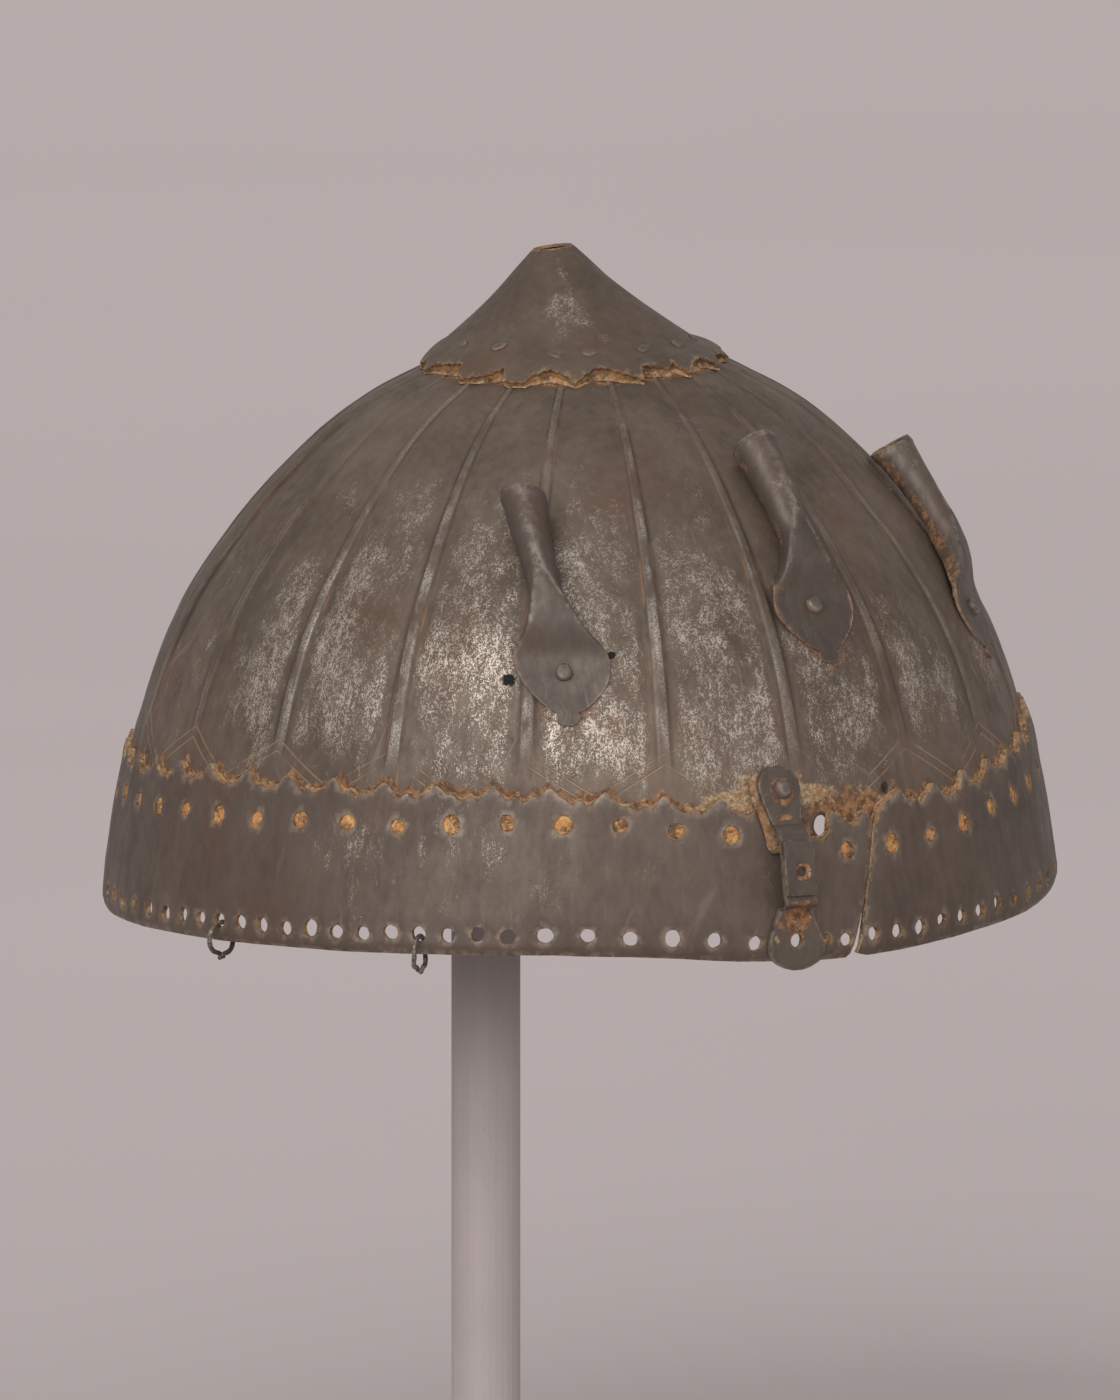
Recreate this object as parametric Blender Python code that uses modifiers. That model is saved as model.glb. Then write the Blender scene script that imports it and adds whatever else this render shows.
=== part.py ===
"""Fluted iron helmet with a scalloped browband, standing on a round display post.

Units are metres and +Z is up.  The origin is the centre of the underside of the
stand's base.  The helmet's own frame sits on its vertical axis in the plane of the
rim: its angles are measured from the nasal bracket, which faces -Y, and grow
toward +X.
"""
import math

import bmesh
import bpy
import numpy as np
from mathutils import Matrix, Vector

# Stand
BASE_DIAMETER = 0.160
BASE_THICKNESS = 0.008
BASE_CHAMFER = 0.0012
POST_DIAMETER = 0.0165
RIM_HEIGHT = 0.150
HELMET_FROM_POST = 0.0227
HELMET_FROM_POST_ANGLE = 63.0
PAD_RADIUS = 0.040
PAD_DEPTH = 0.012

# Bowl, heights above the rim plane
BOWL_RADIUS = 0.1101
BOWL_LOW = 0.0155
BOWL_TOP = 0.1335
BOWL_WALL = 0.0016
RIB_COUNT = 20
RIB_PHASE = 2.0
RIB_WIDTH = 0.0024
RIB_RISE = 0.0006
GORE_BULGE = 0.0004
FLUTE_START = 0.038
FLUTE_FULL = 0.070

# Browband
BAND_SPREAD = 0.0041
BAND_HEIGHT = 0.039
BAND_WALL = 0.0015
BAND_SEAT = 0.0315
BAND_COLUMNS = 50
SCALLOP_DEPTH = 0.0038
UPPER_HOLE = 0.0040
LOWER_HOLE = 0.0032
LOWER_HOLE_UP = 0.0048
HOLE_SIDES = 6
SEAM_FOOT_ANGLE = 8.2
SEAM_HEAD_ANGLE = 11.4
SEAM_HEAD_HEIGHT = 0.0235
SEAM_FOOT_WIDTH = 0.0016
SEAM_HEAD_WIDTH = 0.0004
BREAK_DROP = 0.0060

# Finial
FINIAL_EDGE_RADIUS = 0.0370
FINIAL_TIP_RADIUS = 0.00465
FINIAL_HEIGHT = 0.02624
FINIAL_WALL = 0.0012
FINIAL_EDGE_SHIFT = 0.0029
FINIAL_EDGE_SHIFT_ANGLE = -58.0
FINIAL_TIP_SHIFT = 0.0068
FINIAL_TIP_SHIFT_ANGLE = -116.8
FINIAL_TEETH = 20
FINIAL_TOOTH = 0.0030
TOOTH_TIP = 0.12
TOOTH_ROOT = 0.80
FINIAL_TIP_TILT = 0.0006
FINIAL_RIVETS = 12
FINIAL_RIVET_DIAMETER = 0.0027
FINIAL_RIVET_HEIGHT = 0.0006
FINIAL_RIVET_SHARE = 0.20

# Plume sockets
SOCKET_LENGTH = 0.056
SOCKET_WIDTH = 0.0227
SOCKET_WALL = 0.0012
SOCKET_RIVET_DIAMETER = 0.0042
SOCKET_RIVET_HEIGHT = 0.0011
SOCKET_RIVET_SHARE = 0.235

# Nasal bracket
BRACKET_TOP = 0.0430
BRACKET_BOTTOM = -0.0049
BRACKET_WIDTH = 0.0142
BRACKET_WALL = 0.0013
BRACKET_ARCH = 0.0050
BRACKET_PLATE_WIDTH = 0.0079
BRACKET_PLATE_LENGTH = 0.0129
BRACKET_PLATE_RISE = 0.0006
BRACKET_PLATE_HEIGHT = 0.0198
BRACKET_PLATE_HOLE = 0.0038
BRACKET_LOBE_HOLE = 0.0031
BRACKET_LOBE_HOLE_HEIGHT = 0.0022
BRACKET_RIVET_DIAMETER = 0.0042
BRACKET_RIVET_HEIGHT = 0.0013
BRACKET_RIVET_AT = 0.0379
BRACKET_FOOT_SHIFT = -0.0011
BRACKET_HEAD_SHIFT = -0.0034
BACKING_WALL = 0.0008
BACKING_WIDTH = 0.0100
BACKING_BOTTOM = 0.0226
BACKING_SHIFT = 0.0014
BACKING_WIDTHS = (0.55, 0.92, 1.0, 1.0, 0.84, 0.84, 0.84)

# Wire rings
RING_DIAMETER = 0.0086
RING_WIRE = 0.0012
RING_OVERLAP = 30.0
RING_SIDE_STEP = 0.00075

# Clearance that touching pieces keep
GAP = 0.0003

# Bowl outline: share of the height from lower edge to top, share of BOWL_RADIUS
BOWL_OUTLINE = (
    (0.000, 1.000),
    (0.178, 0.972),
    (0.250, 0.950),
    (0.377, 0.902),
    (0.504, 0.833),
    (0.631, 0.737),
    (0.716, 0.659),
    (0.801, 0.568),
    (0.869, 0.476),
    (0.919, 0.382),
    (0.970, 0.264),
    (1.000, 0.109),
)
BOWL_ROWS = (0.0, 0.18, 0.38, 0.58, 0.76, 0.89, 0.965, 1.0)

# Holes through the bowl at the brow: angle, share of BAND_HEIGHT, width
BOWL_HOLES = ((4.9, 0.718, 0.0046), (15.3, 0.91, 0.0025))

# Browband below its seat: share of BAND_SEAT, share of the flare past BOWL_RADIUS
BAND_FLARE = (
    (0.00, 1.00),
    (0.24, 0.87),
    (0.39, 0.71),
    (0.55, 0.56),
    (0.70, 0.40),
    (0.85, 0.21),
    (1.00, 0.00),
)

# The band sits askew and is bent at the brow.  Angle, then the heights of the rim
# edge, the scallop crests and the upper row of holes as shares of BAND_HEIGHT
BAND_LINE = (
    (-117, -0.067, 0.95, 0.650),
    (-100, -0.062, 0.96, 0.690),
    (-84, -0.049, 1.00, 0.700),
    (-57, -0.026, 1.00, 0.745),
    (-30, -0.003, 1.00, 0.790),
    (-21, -0.015, 0.96, 0.780),
    (-14, -0.036, 0.93, 0.720),
    (-8, -0.062, 0.92, 0.705),
    (0, -0.082, 0.90, 0.640),
    (8, -0.077, 0.89, 0.575),
    (15, -0.068, 0.89, 0.577),
    (22, -0.040, 0.90, 0.600),
    (29, -0.015, 0.94, 0.660),
    (36, 0.003, 0.98, 0.710),
    (42, 0.020, 1.00, 0.725),
    (50, 0.055, 1.07, 0.790),
    (57, 0.080, 1.16, 0.820),
    (63, 0.110, 1.20, 0.840),
    (90, 0.140, 1.17, 0.820),
    (122, 0.180, 1.13, 0.790),
    (150, 0.120, 1.08, 0.750),
    (180, 0.040, 1.04, 0.725),
    (210, -0.040, 1.00, 0.700),
    (243, -0.067, 0.95, 0.650),
)

# One scallop: share of its pitch from the crest, share of SCALLOP_DEPTH below it
SCALLOP = (
    (-0.50, 1.00),
    (-0.24, 0.60),
    (-0.08, 0.00),
    (0.08, 0.00),
    (0.24, 0.60),
)

# Runs of scallops and of holes round the band: first angle, step, how many
SCALLOP_RUNS = ((-117.2, 7.2, 18), (16.9, 6.5, 7), (63.1, 7.2, 25))
UPPER_HOLE_RUNS = ((-113.0, 7.0, 16), (7.7, 6.85, 7), (57.0, 7.1, 26))
LOWER_HOLE_RUNS = (
    (-108.8, 4.4, 6),
    (-82.9, 3.64, 14),
    (-31.1, 5.1, 6),
    (-0.6, 4.3, 2),
    (6.7, 3.8, 7),
    (33.6, 4.4, 5),
    (57.5, 6.25, 31),
)

# The broken edge beside the bracket: angle, share of BREAK_DROP below the crests
BREAK = (
    (1.0, 0.0),
    (1.8, 1.25),
    (4.7, 1.27),
    (5.5, 0.33),
    (7.7, 0.60),
    (8.9, 0.87),
    (11.1, 0.35),
    (12.1, 0.75),
    (13.3, 0.25),
    (14.6, 0.0),
)

# Finial outline: share of its height from the edge, share of the radius from tip to edge
FINIAL_OUTLINE = (
    (0.000, 1.000),
    (0.176, 0.790),
    (0.352, 0.593),
    (0.527, 0.412),
    (0.703, 0.247),
    (0.846, 0.129),
    (1.000, 0.000),
)

# Socket sheet: share of its length from the tip, flat width as a share of
# SOCKET_WIDTH, angle in degrees that the sheet is rolled through
SOCKET_SHEET = (
    (0.000, 0.14, 6),
    (0.030, 0.24, 8),
    (0.075, 0.24, 10),
    (0.090, 0.36, 12),
    (0.150, 0.72, 13),
    (0.220, 0.96, 13),
    (0.280, 1.00, 16),
    (0.350, 0.96, 70),
    (0.430, 0.94, 160),
    (0.520, 0.95, 245),
    (0.620, 1.02, 322),
    (0.780, 1.20, 330),
    (1.000, 1.42, 334),
)

# Sockets: name, angle at the tip, angle at the mouth, height of the tip
SOCKETS = (
    ("left", -28.5, -37.0, 0.0529),
    ("front", 10.4, 10.3, 0.0648),
    ("right", 50.0, 60.0, 0.0590),
)

# Nasal strap: share of its height from the top, share of BRACKET_WIDTH, share of BRACKET_ARCH
BRACKET_STRAP = (
    (0.000, 0.30, 0.00),
    (0.025, 0.56, 0.00),
    (0.085, 0.75, 0.00),
    (0.160, 0.74, 0.00),
    (0.240, 0.60, 0.00),
    (0.275, 0.56, 0.22),
    (0.325, 0.56, 0.78),
    (0.370, 0.56, 1.00),
    (0.630, 0.56, 1.00),
    (0.680, 0.57, 0.70),
    (0.735, 0.64, 0.12),
    (0.780, 0.78, 0.00),
    (0.840, 0.94, 0.00),
    (0.900, 1.00, 0.00),
    (0.950, 0.88, 0.00),
    (0.985, 0.58, 0.00),
    (1.000, 0.32, 0.00),
)

# Wire rings: name, angle of the hole that each hangs in
RINGS = (("mail_ring_1", -75.62), ("mail_ring_2", -46.5))


def material(name, colour, roughness, metallic):
    mat = bpy.data.materials.new(name)
    mat.use_nodes = True
    shader = mat.node_tree.nodes["Principled BSDF"]
    shader.inputs["Base Color"].default_value = (*colour, 1.0)
    shader.inputs["Roughness"].default_value = roughness
    shader.inputs["Metallic"].default_value = metallic
    mat.diffuse_color = (*colour, 1.0)
    return mat


def smooth_line(points, steps):
    """Points along a smooth curve through the given ones."""
    pts = [np.array(p, float) for p in points]
    pts = [2 * pts[0] - pts[1]] + pts + [2 * pts[-1] - pts[-2]]
    out = []
    for i in range(1, len(pts) - 2):
        a, b, c, d = pts[i - 1:i + 3]
        for k in range(steps):
            t = k / steps
            out.append(0.5 * (2 * b + (c - a) * t + (2 * a - 5 * b + 4 * c - d) * t * t
                              + (3 * b - a - 3 * c + d) * t ** 3))
    out.append(pts[-2])
    return np.array(out)


OUTLINE = smooth_line(BOWL_OUTLINE, 12)
OUTLINE_Z = BOWL_LOW + OUTLINE[:, 0] * (BOWL_TOP - BOWL_LOW)
OUTLINE_R = OUTLINE[:, 1] * BOWL_RADIUS


def bowl_radius(z):
    return float(np.interp(z, OUTLINE_Z, OUTLINE_R))


def dome_height(radius):
    return float(np.interp(radius, OUTLINE_R[::-1], OUTLINE_Z[::-1]))


def bowl_normal(z):
    """Outward direction of the bowl at a height, as radius and height parts."""
    lo = max(z - BOWL_WALL, BOWL_LOW)
    hi = min(z + BOWL_WALL, BOWL_TOP)
    dr = bowl_radius(hi) - bowl_radius(lo)
    size = math.hypot(dr, hi - lo)
    return (hi - lo) / size, -dr / size


def ease(x):
    x = min(max(x, 0.0), 1.0)
    return x * x * (3 - 2 * x)


def flute_share(z):
    """How strongly the bowl is fluted at a height: none under the band, less at the top."""
    rise = ease((z - FLUTE_START) / (FLUTE_FULL - FLUTE_START))
    high = (z - FLUTE_FULL) / (BOWL_TOP - FLUTE_FULL)
    return rise * (1.0 - 0.6 * min(max(high, 0.0), 1.0))


def band_radius(z):
    """Outer radius of the browband at a height."""
    chord = 1.0 / math.cos(math.pi / BAND_COLUMNS)
    seat = (bowl_radius(max(z, BAND_SEAT)) + GAP) * chord + BAND_WALL
    seat += GORE_BULGE * flute_share(z)
    share = min(max(z / BAND_SEAT, 0.0), 1.0)
    flare = np.interp(share, [p[0] for p in BAND_FLARE], [p[1] for p in BAND_FLARE])
    return seat + (BOWL_RADIUS + BAND_SPREAD - seat) * float(flare)


def band_line(angle, column):
    """Height of the rim (1), the crests (2) or the upper holes (3) at an angle."""
    while angle < BAND_LINE[0][0]:
        angle += 360.0
    while angle > BAND_LINE[-1][0]:
        angle -= 360.0
    share = np.interp(angle, [p[0] for p in BAND_LINE], [p[column] for p in BAND_LINE])
    return float(share) * BAND_HEIGHT


def runs(table):
    return [first + step * k for first, step, count in table for k in range(count)]


def polar(angle, radius, z):
    a = math.radians(angle)
    return Vector((radius * math.sin(a), -radius * math.cos(a), z))


def clear_scene():
    for item in list(bpy.data.objects):
        bpy.data.objects.remove(item, do_unlink=True)


clear_scene()
PARTS = bpy.data.collections.new("fluted_helmet")
CUTTERS = bpy.data.collections.new("cutters")
bpy.context.scene.collection.children.link(PARTS)
bpy.context.scene.collection.children.link(CUTTERS)

IRON = material("iron", (0.105, 0.085, 0.075), 0.55, 0.75)
BAND_IRON = material("band_iron", (0.098, 0.080, 0.076), 0.50, 0.75)
FINIAL_IRON = material("finial_iron", (0.100, 0.085, 0.075), 0.50, 0.75)
SOCKET_IRON = material("socket_iron", (0.100, 0.082, 0.074), 0.48, 0.75)
BRACKET_IRON = material("bracket_iron", (0.095, 0.078, 0.070), 0.50, 0.70)
RUST = material("rusty_plate", (0.235, 0.120, 0.060), 0.85, 0.10)
RIVET_IRON = material("rivet_iron", (0.120, 0.100, 0.090), 0.45, 0.80)
WIRE = material("ring_wire", (0.090, 0.070, 0.060), 0.55, 0.75)
STAND = material("stand_paint", (0.300, 0.265, 0.262), 0.60, 0.00)

rear = math.radians(HELMET_FROM_POST_ANGLE)
HELMET_X = HELMET_FROM_POST * math.sin(rear)
HELMET_Y = -HELMET_FROM_POST * math.cos(rear)
helmet = bpy.data.objects.new("helmet_frame", None)
helmet.location = (HELMET_X, HELMET_Y, RIM_HEIGHT)
PARTS.objects.link(helmet)
bpy.context.view_layer.update()


def add_object(name, mesh, mat=None, parent=helmet, cutter=False):
    obj = bpy.data.objects.new(name, mesh)
    (CUTTERS if cutter else PARTS).objects.link(obj)
    if mat:
        mesh.materials.clear()
        mesh.materials.append(mat)
    if parent:
        obj.parent = parent
    if cutter:
        obj.hide_render = True
        obj.display_type = 'WIRE'
    return obj


def from_bmesh(name, bm, mat=None, parent=helmet, cutter=False):
    bmesh.ops.recalc_face_normals(bm, faces=bm.faces[:])
    mesh = bpy.data.meshes.new(name)
    bm.to_mesh(mesh)
    bm.free()
    return add_object(name, mesh, mat, parent, cutter)


def smooth_shading(obj, limit=40.0):
    obj.data.shade_smooth()
    obj.data.set_sharp_from_angle(angle=math.radians(limit))


def turned(name, profile, steps, mat=None, parent=helmet, closed=False):
    """A profile of (radius, height) points, top to bottom, turned about the axis."""
    mesh = bpy.data.meshes.new(name)
    count = len(profile)
    edges = [(i, i + 1) for i in range(count - 1)]
    if closed:
        edges.append((count - 1, 0))
    mesh.from_pydata([(r, 0.0, z) for r, z in profile], edges, [])
    obj = add_object(name, mesh, mat, parent)
    screw = obj.modifiers.new("turn", 'SCREW')
    screw.steps = steps
    screw.render_steps = steps
    screw.use_merge_vertices = True
    screw.merge_threshold = 0.00001
    return obj


def made_mesh(obj):
    """The object with its modifiers made into plain mesh, ready to be shaped."""
    bpy.context.view_layer.update()
    graph = bpy.context.evaluated_depsgraph_get()
    mesh = bpy.data.meshes.new_from_object(obj.evaluated_get(graph))
    old = obj.data
    obj.modifiers.clear()
    obj.data = mesh
    if old.users == 0 and isinstance(old, bpy.types.Mesh):
        bpy.data.meshes.remove(old)
    return obj


def solidify(obj, wall):
    mod = obj.modifiers.new("wall", 'SOLIDIFY')
    mod.thickness = wall
    mod.offset = -1.0
    mod.use_even_offset = False
    return mod


def cut(obj, cutter, operation='DIFFERENCE'):
    mod = obj.modifiers.new(operation.lower(), 'BOOLEAN')
    mod.operation = operation
    mod.solver = 'EXACT'
    mod.object = cutter
    return mod


def prism_holes(name, holes, sides, depth):
    """Cutter of short radial prisms.  Holes are angle, height, radius and width."""
    bm = bmesh.new()
    for angle, z, radius, width in holes:
        spin = Matrix.Rotation(math.radians(angle), 4, 'Z')
        lay = Matrix.Rotation(math.radians(90), 4, 'X')
        place = Matrix.Translation(polar(angle, radius, z)) @ spin @ lay
        bmesh.ops.create_cone(bm, cap_ends=True, segments=sides, radius1=width / 2,
                              radius2=width / 2, depth=depth, matrix=place)
    return from_bmesh(name, bm, cutter=True)


def loft(bm, sections, ring=False):
    """Faces between closed sections of equal count, with end caps unless a ring."""
    rows = [[bm.verts.new(p) for p in section] for section in sections]
    count = len(rows[0])
    pairs = list(zip(rows, rows[1:]))
    if ring:
        pairs.append((rows[-1], rows[0]))
    for low, high in pairs:
        for i in range(count):
            j = (i + 1) % count
            bm.faces.new((low[i], low[j], high[j], high[i]))
    if not ring:
        bm.faces.new(rows[0])
        bm.faces.new(rows[-1][::-1])


def dome_rivet(name, width, height, place, mat, parent=helmet, sides=8):
    """A flattened rivet head whose flat back lies in the plane of its place."""
    bm = bmesh.new()
    bmesh.ops.create_cone(bm, cap_ends=True, segments=sides, radius1=width / 2,
                          radius2=width * 0.34, depth=height,
                          matrix=place @ Matrix.Translation((0, 0, height / 2)))
    obj = from_bmesh(name, bm, mat, parent)
    smooth_shading(obj, 60)
    return obj


def seat_frame(point, outward, upward):
    """Placement whose Z axis is outward and whose Y axis is near upward."""
    z = outward.normalized()
    x = upward.cross(z).normalized()
    y = z.cross(x)
    basis = Matrix((x, y, z)).transposed().to_4x4()
    return Matrix.Translation(point) @ basis


# Stand
def build_stand():
    base = turned("stand_base", [
        (0.0, BASE_THICKNESS),
        (BASE_DIAMETER / 2 - BASE_CHAMFER, BASE_THICKNESS),
        (BASE_DIAMETER / 2, BASE_THICKNESS - BASE_CHAMFER),
        (BASE_DIAMETER / 2, 0.0),
        (0.0, 0.0),
    ], 40, STAND, parent=None)
    smooth_shading(made_mesh(base))
    top = RIM_HEIGHT + pad_height() - PAD_DEPTH - GAP
    foot = BASE_THICKNESS + GAP
    bm = bmesh.new()
    bmesh.ops.create_cone(bm, cap_ends=True, segments=32, radius1=POST_DIAMETER / 2,
                          radius2=POST_DIAMETER / 2, depth=top - foot,
                          matrix=Matrix.Translation((0, 0, (top + foot) / 2)))
    smooth_shading(from_bmesh("stand_post", bm, STAND, parent=None))
    rows = [row for row in pad_rows() if row[0] < PAD_RADIUS * 0.98]
    profile = [(0.0, rows[0][1])] + rows
    profile += [(PAD_RADIUS, pad_height()), (PAD_RADIUS, pad_height() - PAD_DEPTH)]
    profile.append((0.0, pad_height() - PAD_DEPTH))
    smooth_shading(made_mesh(turned("stand_pad", profile, 32, STAND)), 30)


def inside_line():
    """The bowl's facets as the pad meets them, top to bottom, less wall and clearance."""
    line = []
    for share in BOWL_ROWS[::-1]:
        z = BOWL_LOW + share * (BOWL_TOP - BOWL_LOW)
        nr, nz = bowl_normal(z)
        off = BOWL_WALL + 2 * GAP
        line.append((bowl_radius(z) - nr * off, z - nz * off))
    return line


def pad_rows():
    return inside_line()


def pad_height():
    """Height at which the pad's rim stops."""
    line = inside_line()
    radii = [p[0] for p in line]
    return float(np.interp(PAD_RADIUS, radii, [p[1] for p in line])) - GAP


# Bowl
def build_bowl():
    profile = []
    for share in BOWL_ROWS[::-1]:
        z = BOWL_LOW + share * (BOWL_TOP - BOWL_LOW)
        profile.append((bowl_radius(z), z))
    bowl = made_mesh(turned("bowl", profile, RIB_COUNT * 4, IRON))
    gore = 360.0 / RIB_COUNT
    for vert in bowl.data.vertices:
        angle = math.degrees(math.atan2(vert.co.y, vert.co.x))
        column = round(angle / (gore / 4))
        rib = math.floor(column / 4)
        part = column % 4
        z = vert.co.z
        radius = bowl_radius(z)
        share = flute_share(z)
        foot = math.degrees(RIB_WIDTH / 2 * (0.5 + 0.5 * radius / BOWL_RADIUS) / radius)
        offset = (0.0, min(foot, gore / 4), gore / 2, gore - min(foot, gore / 4))[part]
        rise = (RIB_RISE, 0.0, GORE_BULGE, 0.0)[part] * share
        nr, nz = bowl_normal(z)
        vert.co = polar(RIB_PHASE + rib * gore + offset, radius + nr * rise, z + nz * rise)
    solidify(bowl, BOWL_WALL)
    holes = prism_holes("bowl_hole_cutter", [
        (angle, BAND_HEIGHT * share, bowl_radius(BAND_HEIGHT * share), width)
        for angle, share, width in BOWL_HOLES
    ], 8, BOWL_WALL * 8)
    cut(bowl, holes)
    smooth_shading(bowl, 30)


# Browband
def scallop_line():
    """Angles and heights of the band's top edge, all the way round."""
    crests = sorted(runs(SCALLOP_RUNS))
    turn = crests + [crests[0] + 360.0]
    last = crests[-1] - 360.0
    out = []
    for i, crest in enumerate(crests):
        before = crest - (crests[i - 1] if i else last)
        after = turn[i + 1] - crest
        for share, drop in SCALLOP:
            angle = crest + share * (before if share < 0 else after)
            out.append((angle, band_line(angle, 2) - drop * SCALLOP_DEPTH))
    cleared = [p for p in out if not BREAK[0][0] - 0.5 < p[0] < BREAK[-1][0] + 0.5]
    for angle, share in BREAK:
        cleared.append((angle, band_line(angle, 2) - SCALLOP_DEPTH * 0.5 - share * BREAK_DROP))
    return sorted(cleared)


def build_band():
    top = max(p[2] for p in BAND_LINE) * BAND_HEIGHT * 1.06
    rows = [top, BAND_SEAT * 1.28, BAND_SEAT, BAND_SEAT * 0.40, 0.0]
    profile = [(band_radius(z), z) for z in rows]
    band = made_mesh(turned("browband", profile, BAND_COLUMNS, BAND_IRON))
    for vert in band.data.vertices:
        if abs(vert.co.z) < 1e-6:
            angle = math.degrees(math.atan2(vert.co.x, -vert.co.y))
            z = band_line(angle, 1)
            vert.co = polar(angle, band_radius(max(z, 0.0)), z)
    solidify(band, BAND_WALL)

    inner = bowl_radius(top) - 4 * BAND_WALL
    outer = BOWL_RADIUS + BAND_SPREAD + 4 * BAND_WALL
    bm = bmesh.new()
    sections = []
    for angle, z in scallop_line():
        sections.append([polar(angle, inner, z), polar(angle, outer, z),
                         polar(angle, outer, top + BAND_HEIGHT), polar(angle, inner, top + BAND_HEIGHT)])
    loft(bm, sections, ring=True)
    cut(band, from_bmesh("scallop_cutter", bm, cutter=True))

    holes = []
    for angle in runs(UPPER_HOLE_RUNS):
        z = band_line(angle, 3)
        holes.append((angle, z, band_radius(z), UPPER_HOLE))
    for angle in runs(LOWER_HOLE_RUNS):
        z = band_line(angle, 1) + LOWER_HOLE_UP
        holes.append((angle, z, band_radius(z), LOWER_HOLE))
    cut(band, prism_holes("band_hole_cutter", holes, HOLE_SIDES, BAND_WALL * 4))

    bm = bmesh.new()
    sections = []
    slope = (SEAM_HEAD_ANGLE - SEAM_FOOT_ANGLE) / SEAM_HEAD_HEIGHT
    low = band_line(SEAM_FOOT_ANGLE, 1) - 2 * BAND_WALL
    rim = BOWL_RADIUS + BAND_SPREAD
    for radius in (rim - 6 * BAND_WALL, rim + 4 * BAND_WALL):
        foot = math.degrees(SEAM_FOOT_WIDTH / 2 / rim)
        head = math.degrees(SEAM_HEAD_WIDTH / 2 / rim)
        at_low = SEAM_FOOT_ANGLE + slope * low
        sections.append([polar(at_low - foot, radius, low), polar(at_low + foot, radius, low),
                         polar(SEAM_HEAD_ANGLE + head, radius, SEAM_HEAD_HEIGHT),
                         polar(SEAM_HEAD_ANGLE - head, radius, SEAM_HEAD_HEIGHT)])
    loft(bm, sections)
    cut(band, from_bmesh("seam_cutter", bm, cutter=True))
    smooth_shading(band, 30)


# Finial
def finial_shift(share):
    edge = polar(FINIAL_EDGE_SHIFT_ANGLE, FINIAL_EDGE_SHIFT, 0.0)
    tip = polar(FINIAL_TIP_SHIFT_ANGLE, FINIAL_TIP_SHIFT, 0.0)
    return edge + (tip - edge) * share


def finial_edge_height(radius):
    return dome_height(radius) + 1.1 * FINIAL_WALL + 1.5 * GAP + RIB_RISE


def finial_radius(share):
    table = FINIAL_OUTLINE
    part = np.interp(share, [p[0] for p in table], [p[1] for p in table])
    return FINIAL_TIP_RADIUS + float(part) * (FINIAL_EDGE_RADIUS - FINIAL_TIP_RADIUS)


def finial_point(angle, share):
    """Point on the finial's outer face, with its edge laid on the dome."""
    low = finial_edge_height(FINIAL_EDGE_RADIUS)
    z = low + share * FINIAL_HEIGHT
    point = polar(angle, finial_radius(share), z) + finial_shift(share)
    lay = max(0.0, 1.0 - share / FINIAL_OUTLINE[1][0])
    point.z += lay * (finial_edge_height(math.hypot(point.x, point.y)) - low)
    lean = math.cos(math.radians(angle - FINIAL_TIP_SHIFT_ANGLE))
    point.z -= FINIAL_TIP_TILT * ease((share - 0.7) / 0.3) * lean
    return point


def build_finial():
    columns = FINIAL_TEETH * 2
    table = FINIAL_OUTLINE[::-1]
    profile = [(FINIAL_TIP_RADIUS + part * (FINIAL_EDGE_RADIUS - FINIAL_TIP_RADIUS), -i * 0.001)
               for i, (share, part) in enumerate(table)]
    cap = made_mesh(turned("finial_cap", profile, columns, FINIAL_IRON))
    low = finial_edge_height(FINIAL_EDGE_RADIUS)
    slant = math.hypot(FINIAL_EDGE_RADIUS - finial_radius(FINIAL_OUTLINE[1][0]),
                       FINIAL_OUTLINE[1][0] * FINIAL_HEIGHT)
    for vert in cap.data.vertices:
        row = round(-vert.co.z / 0.001)
        share = table[row][0]
        angle = math.degrees(math.atan2(vert.co.x, -vert.co.y))
        if share == 0.0:
            column = round(math.degrees(math.atan2(vert.co.y, vert.co.x)) / (360.0 / columns))
            if column % 2:
                depth = TOOTH_TIP + TOOTH_TIP * math.sin(column * 1.7)
            else:
                depth = TOOTH_ROOT + (1.0 - TOOTH_ROOT) * math.sin(column * 2.3)
            share = depth * FINIAL_TOOTH / slant * FINIAL_OUTLINE[1][0]
        vert.co = finial_point(angle, share)
    solidify(cap, FINIAL_WALL)
    smooth_shading(cap, 40)
    for i in range(FINIAL_RIVETS):
        angle = FINIAL_TIP_SHIFT_ANGLE + (i + 0.5 + 0.18 * math.sin(i * 2.1)) * 360.0 / FINIAL_RIVETS
        share = FINIAL_RIVET_SHARE
        here = finial_point(angle, share)
        up = finial_point(angle, share + 0.05) - here
        side = finial_point(angle + 4.0, share) - finial_point(angle - 4.0, share)
        outward = side.cross(up).normalized()
        place = seat_frame(here + outward * 1.3 * GAP, outward, up)
        dome_rivet("finial_rivet_%02d" % (i + 1), FINIAL_RIVET_DIAMETER, FINIAL_RIVET_HEIGHT, place,
                   RIVET_IRON, sides=6)


# Plume sockets
def meridian(start, distance):
    """Height reached after going a distance up the bowl from a height."""
    z = start
    left = distance
    while left > 1e-9:
        step = min(left, BOWL_WALL / 3)
        nr, nz = bowl_normal(z)
        z += step * nr
        left -= step
    return z


def socket_place(tip_angle, mouth_angle, tip_height, share):
    """Point on the bowl's skin under the socket's middle line, and its directions."""
    z = meridian(tip_height, share * SOCKET_LENGTH)
    angle = tip_angle + (mouth_angle - tip_angle) * ease(share * 0.6) / ease(0.6)
    nr, nz = bowl_normal(z)
    point = polar(angle, bowl_radius(z), z)
    outward = polar(angle, nr, nz)
    side = polar(angle + 90.0, 1.0, 0.0)
    return point, outward, side


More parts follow.
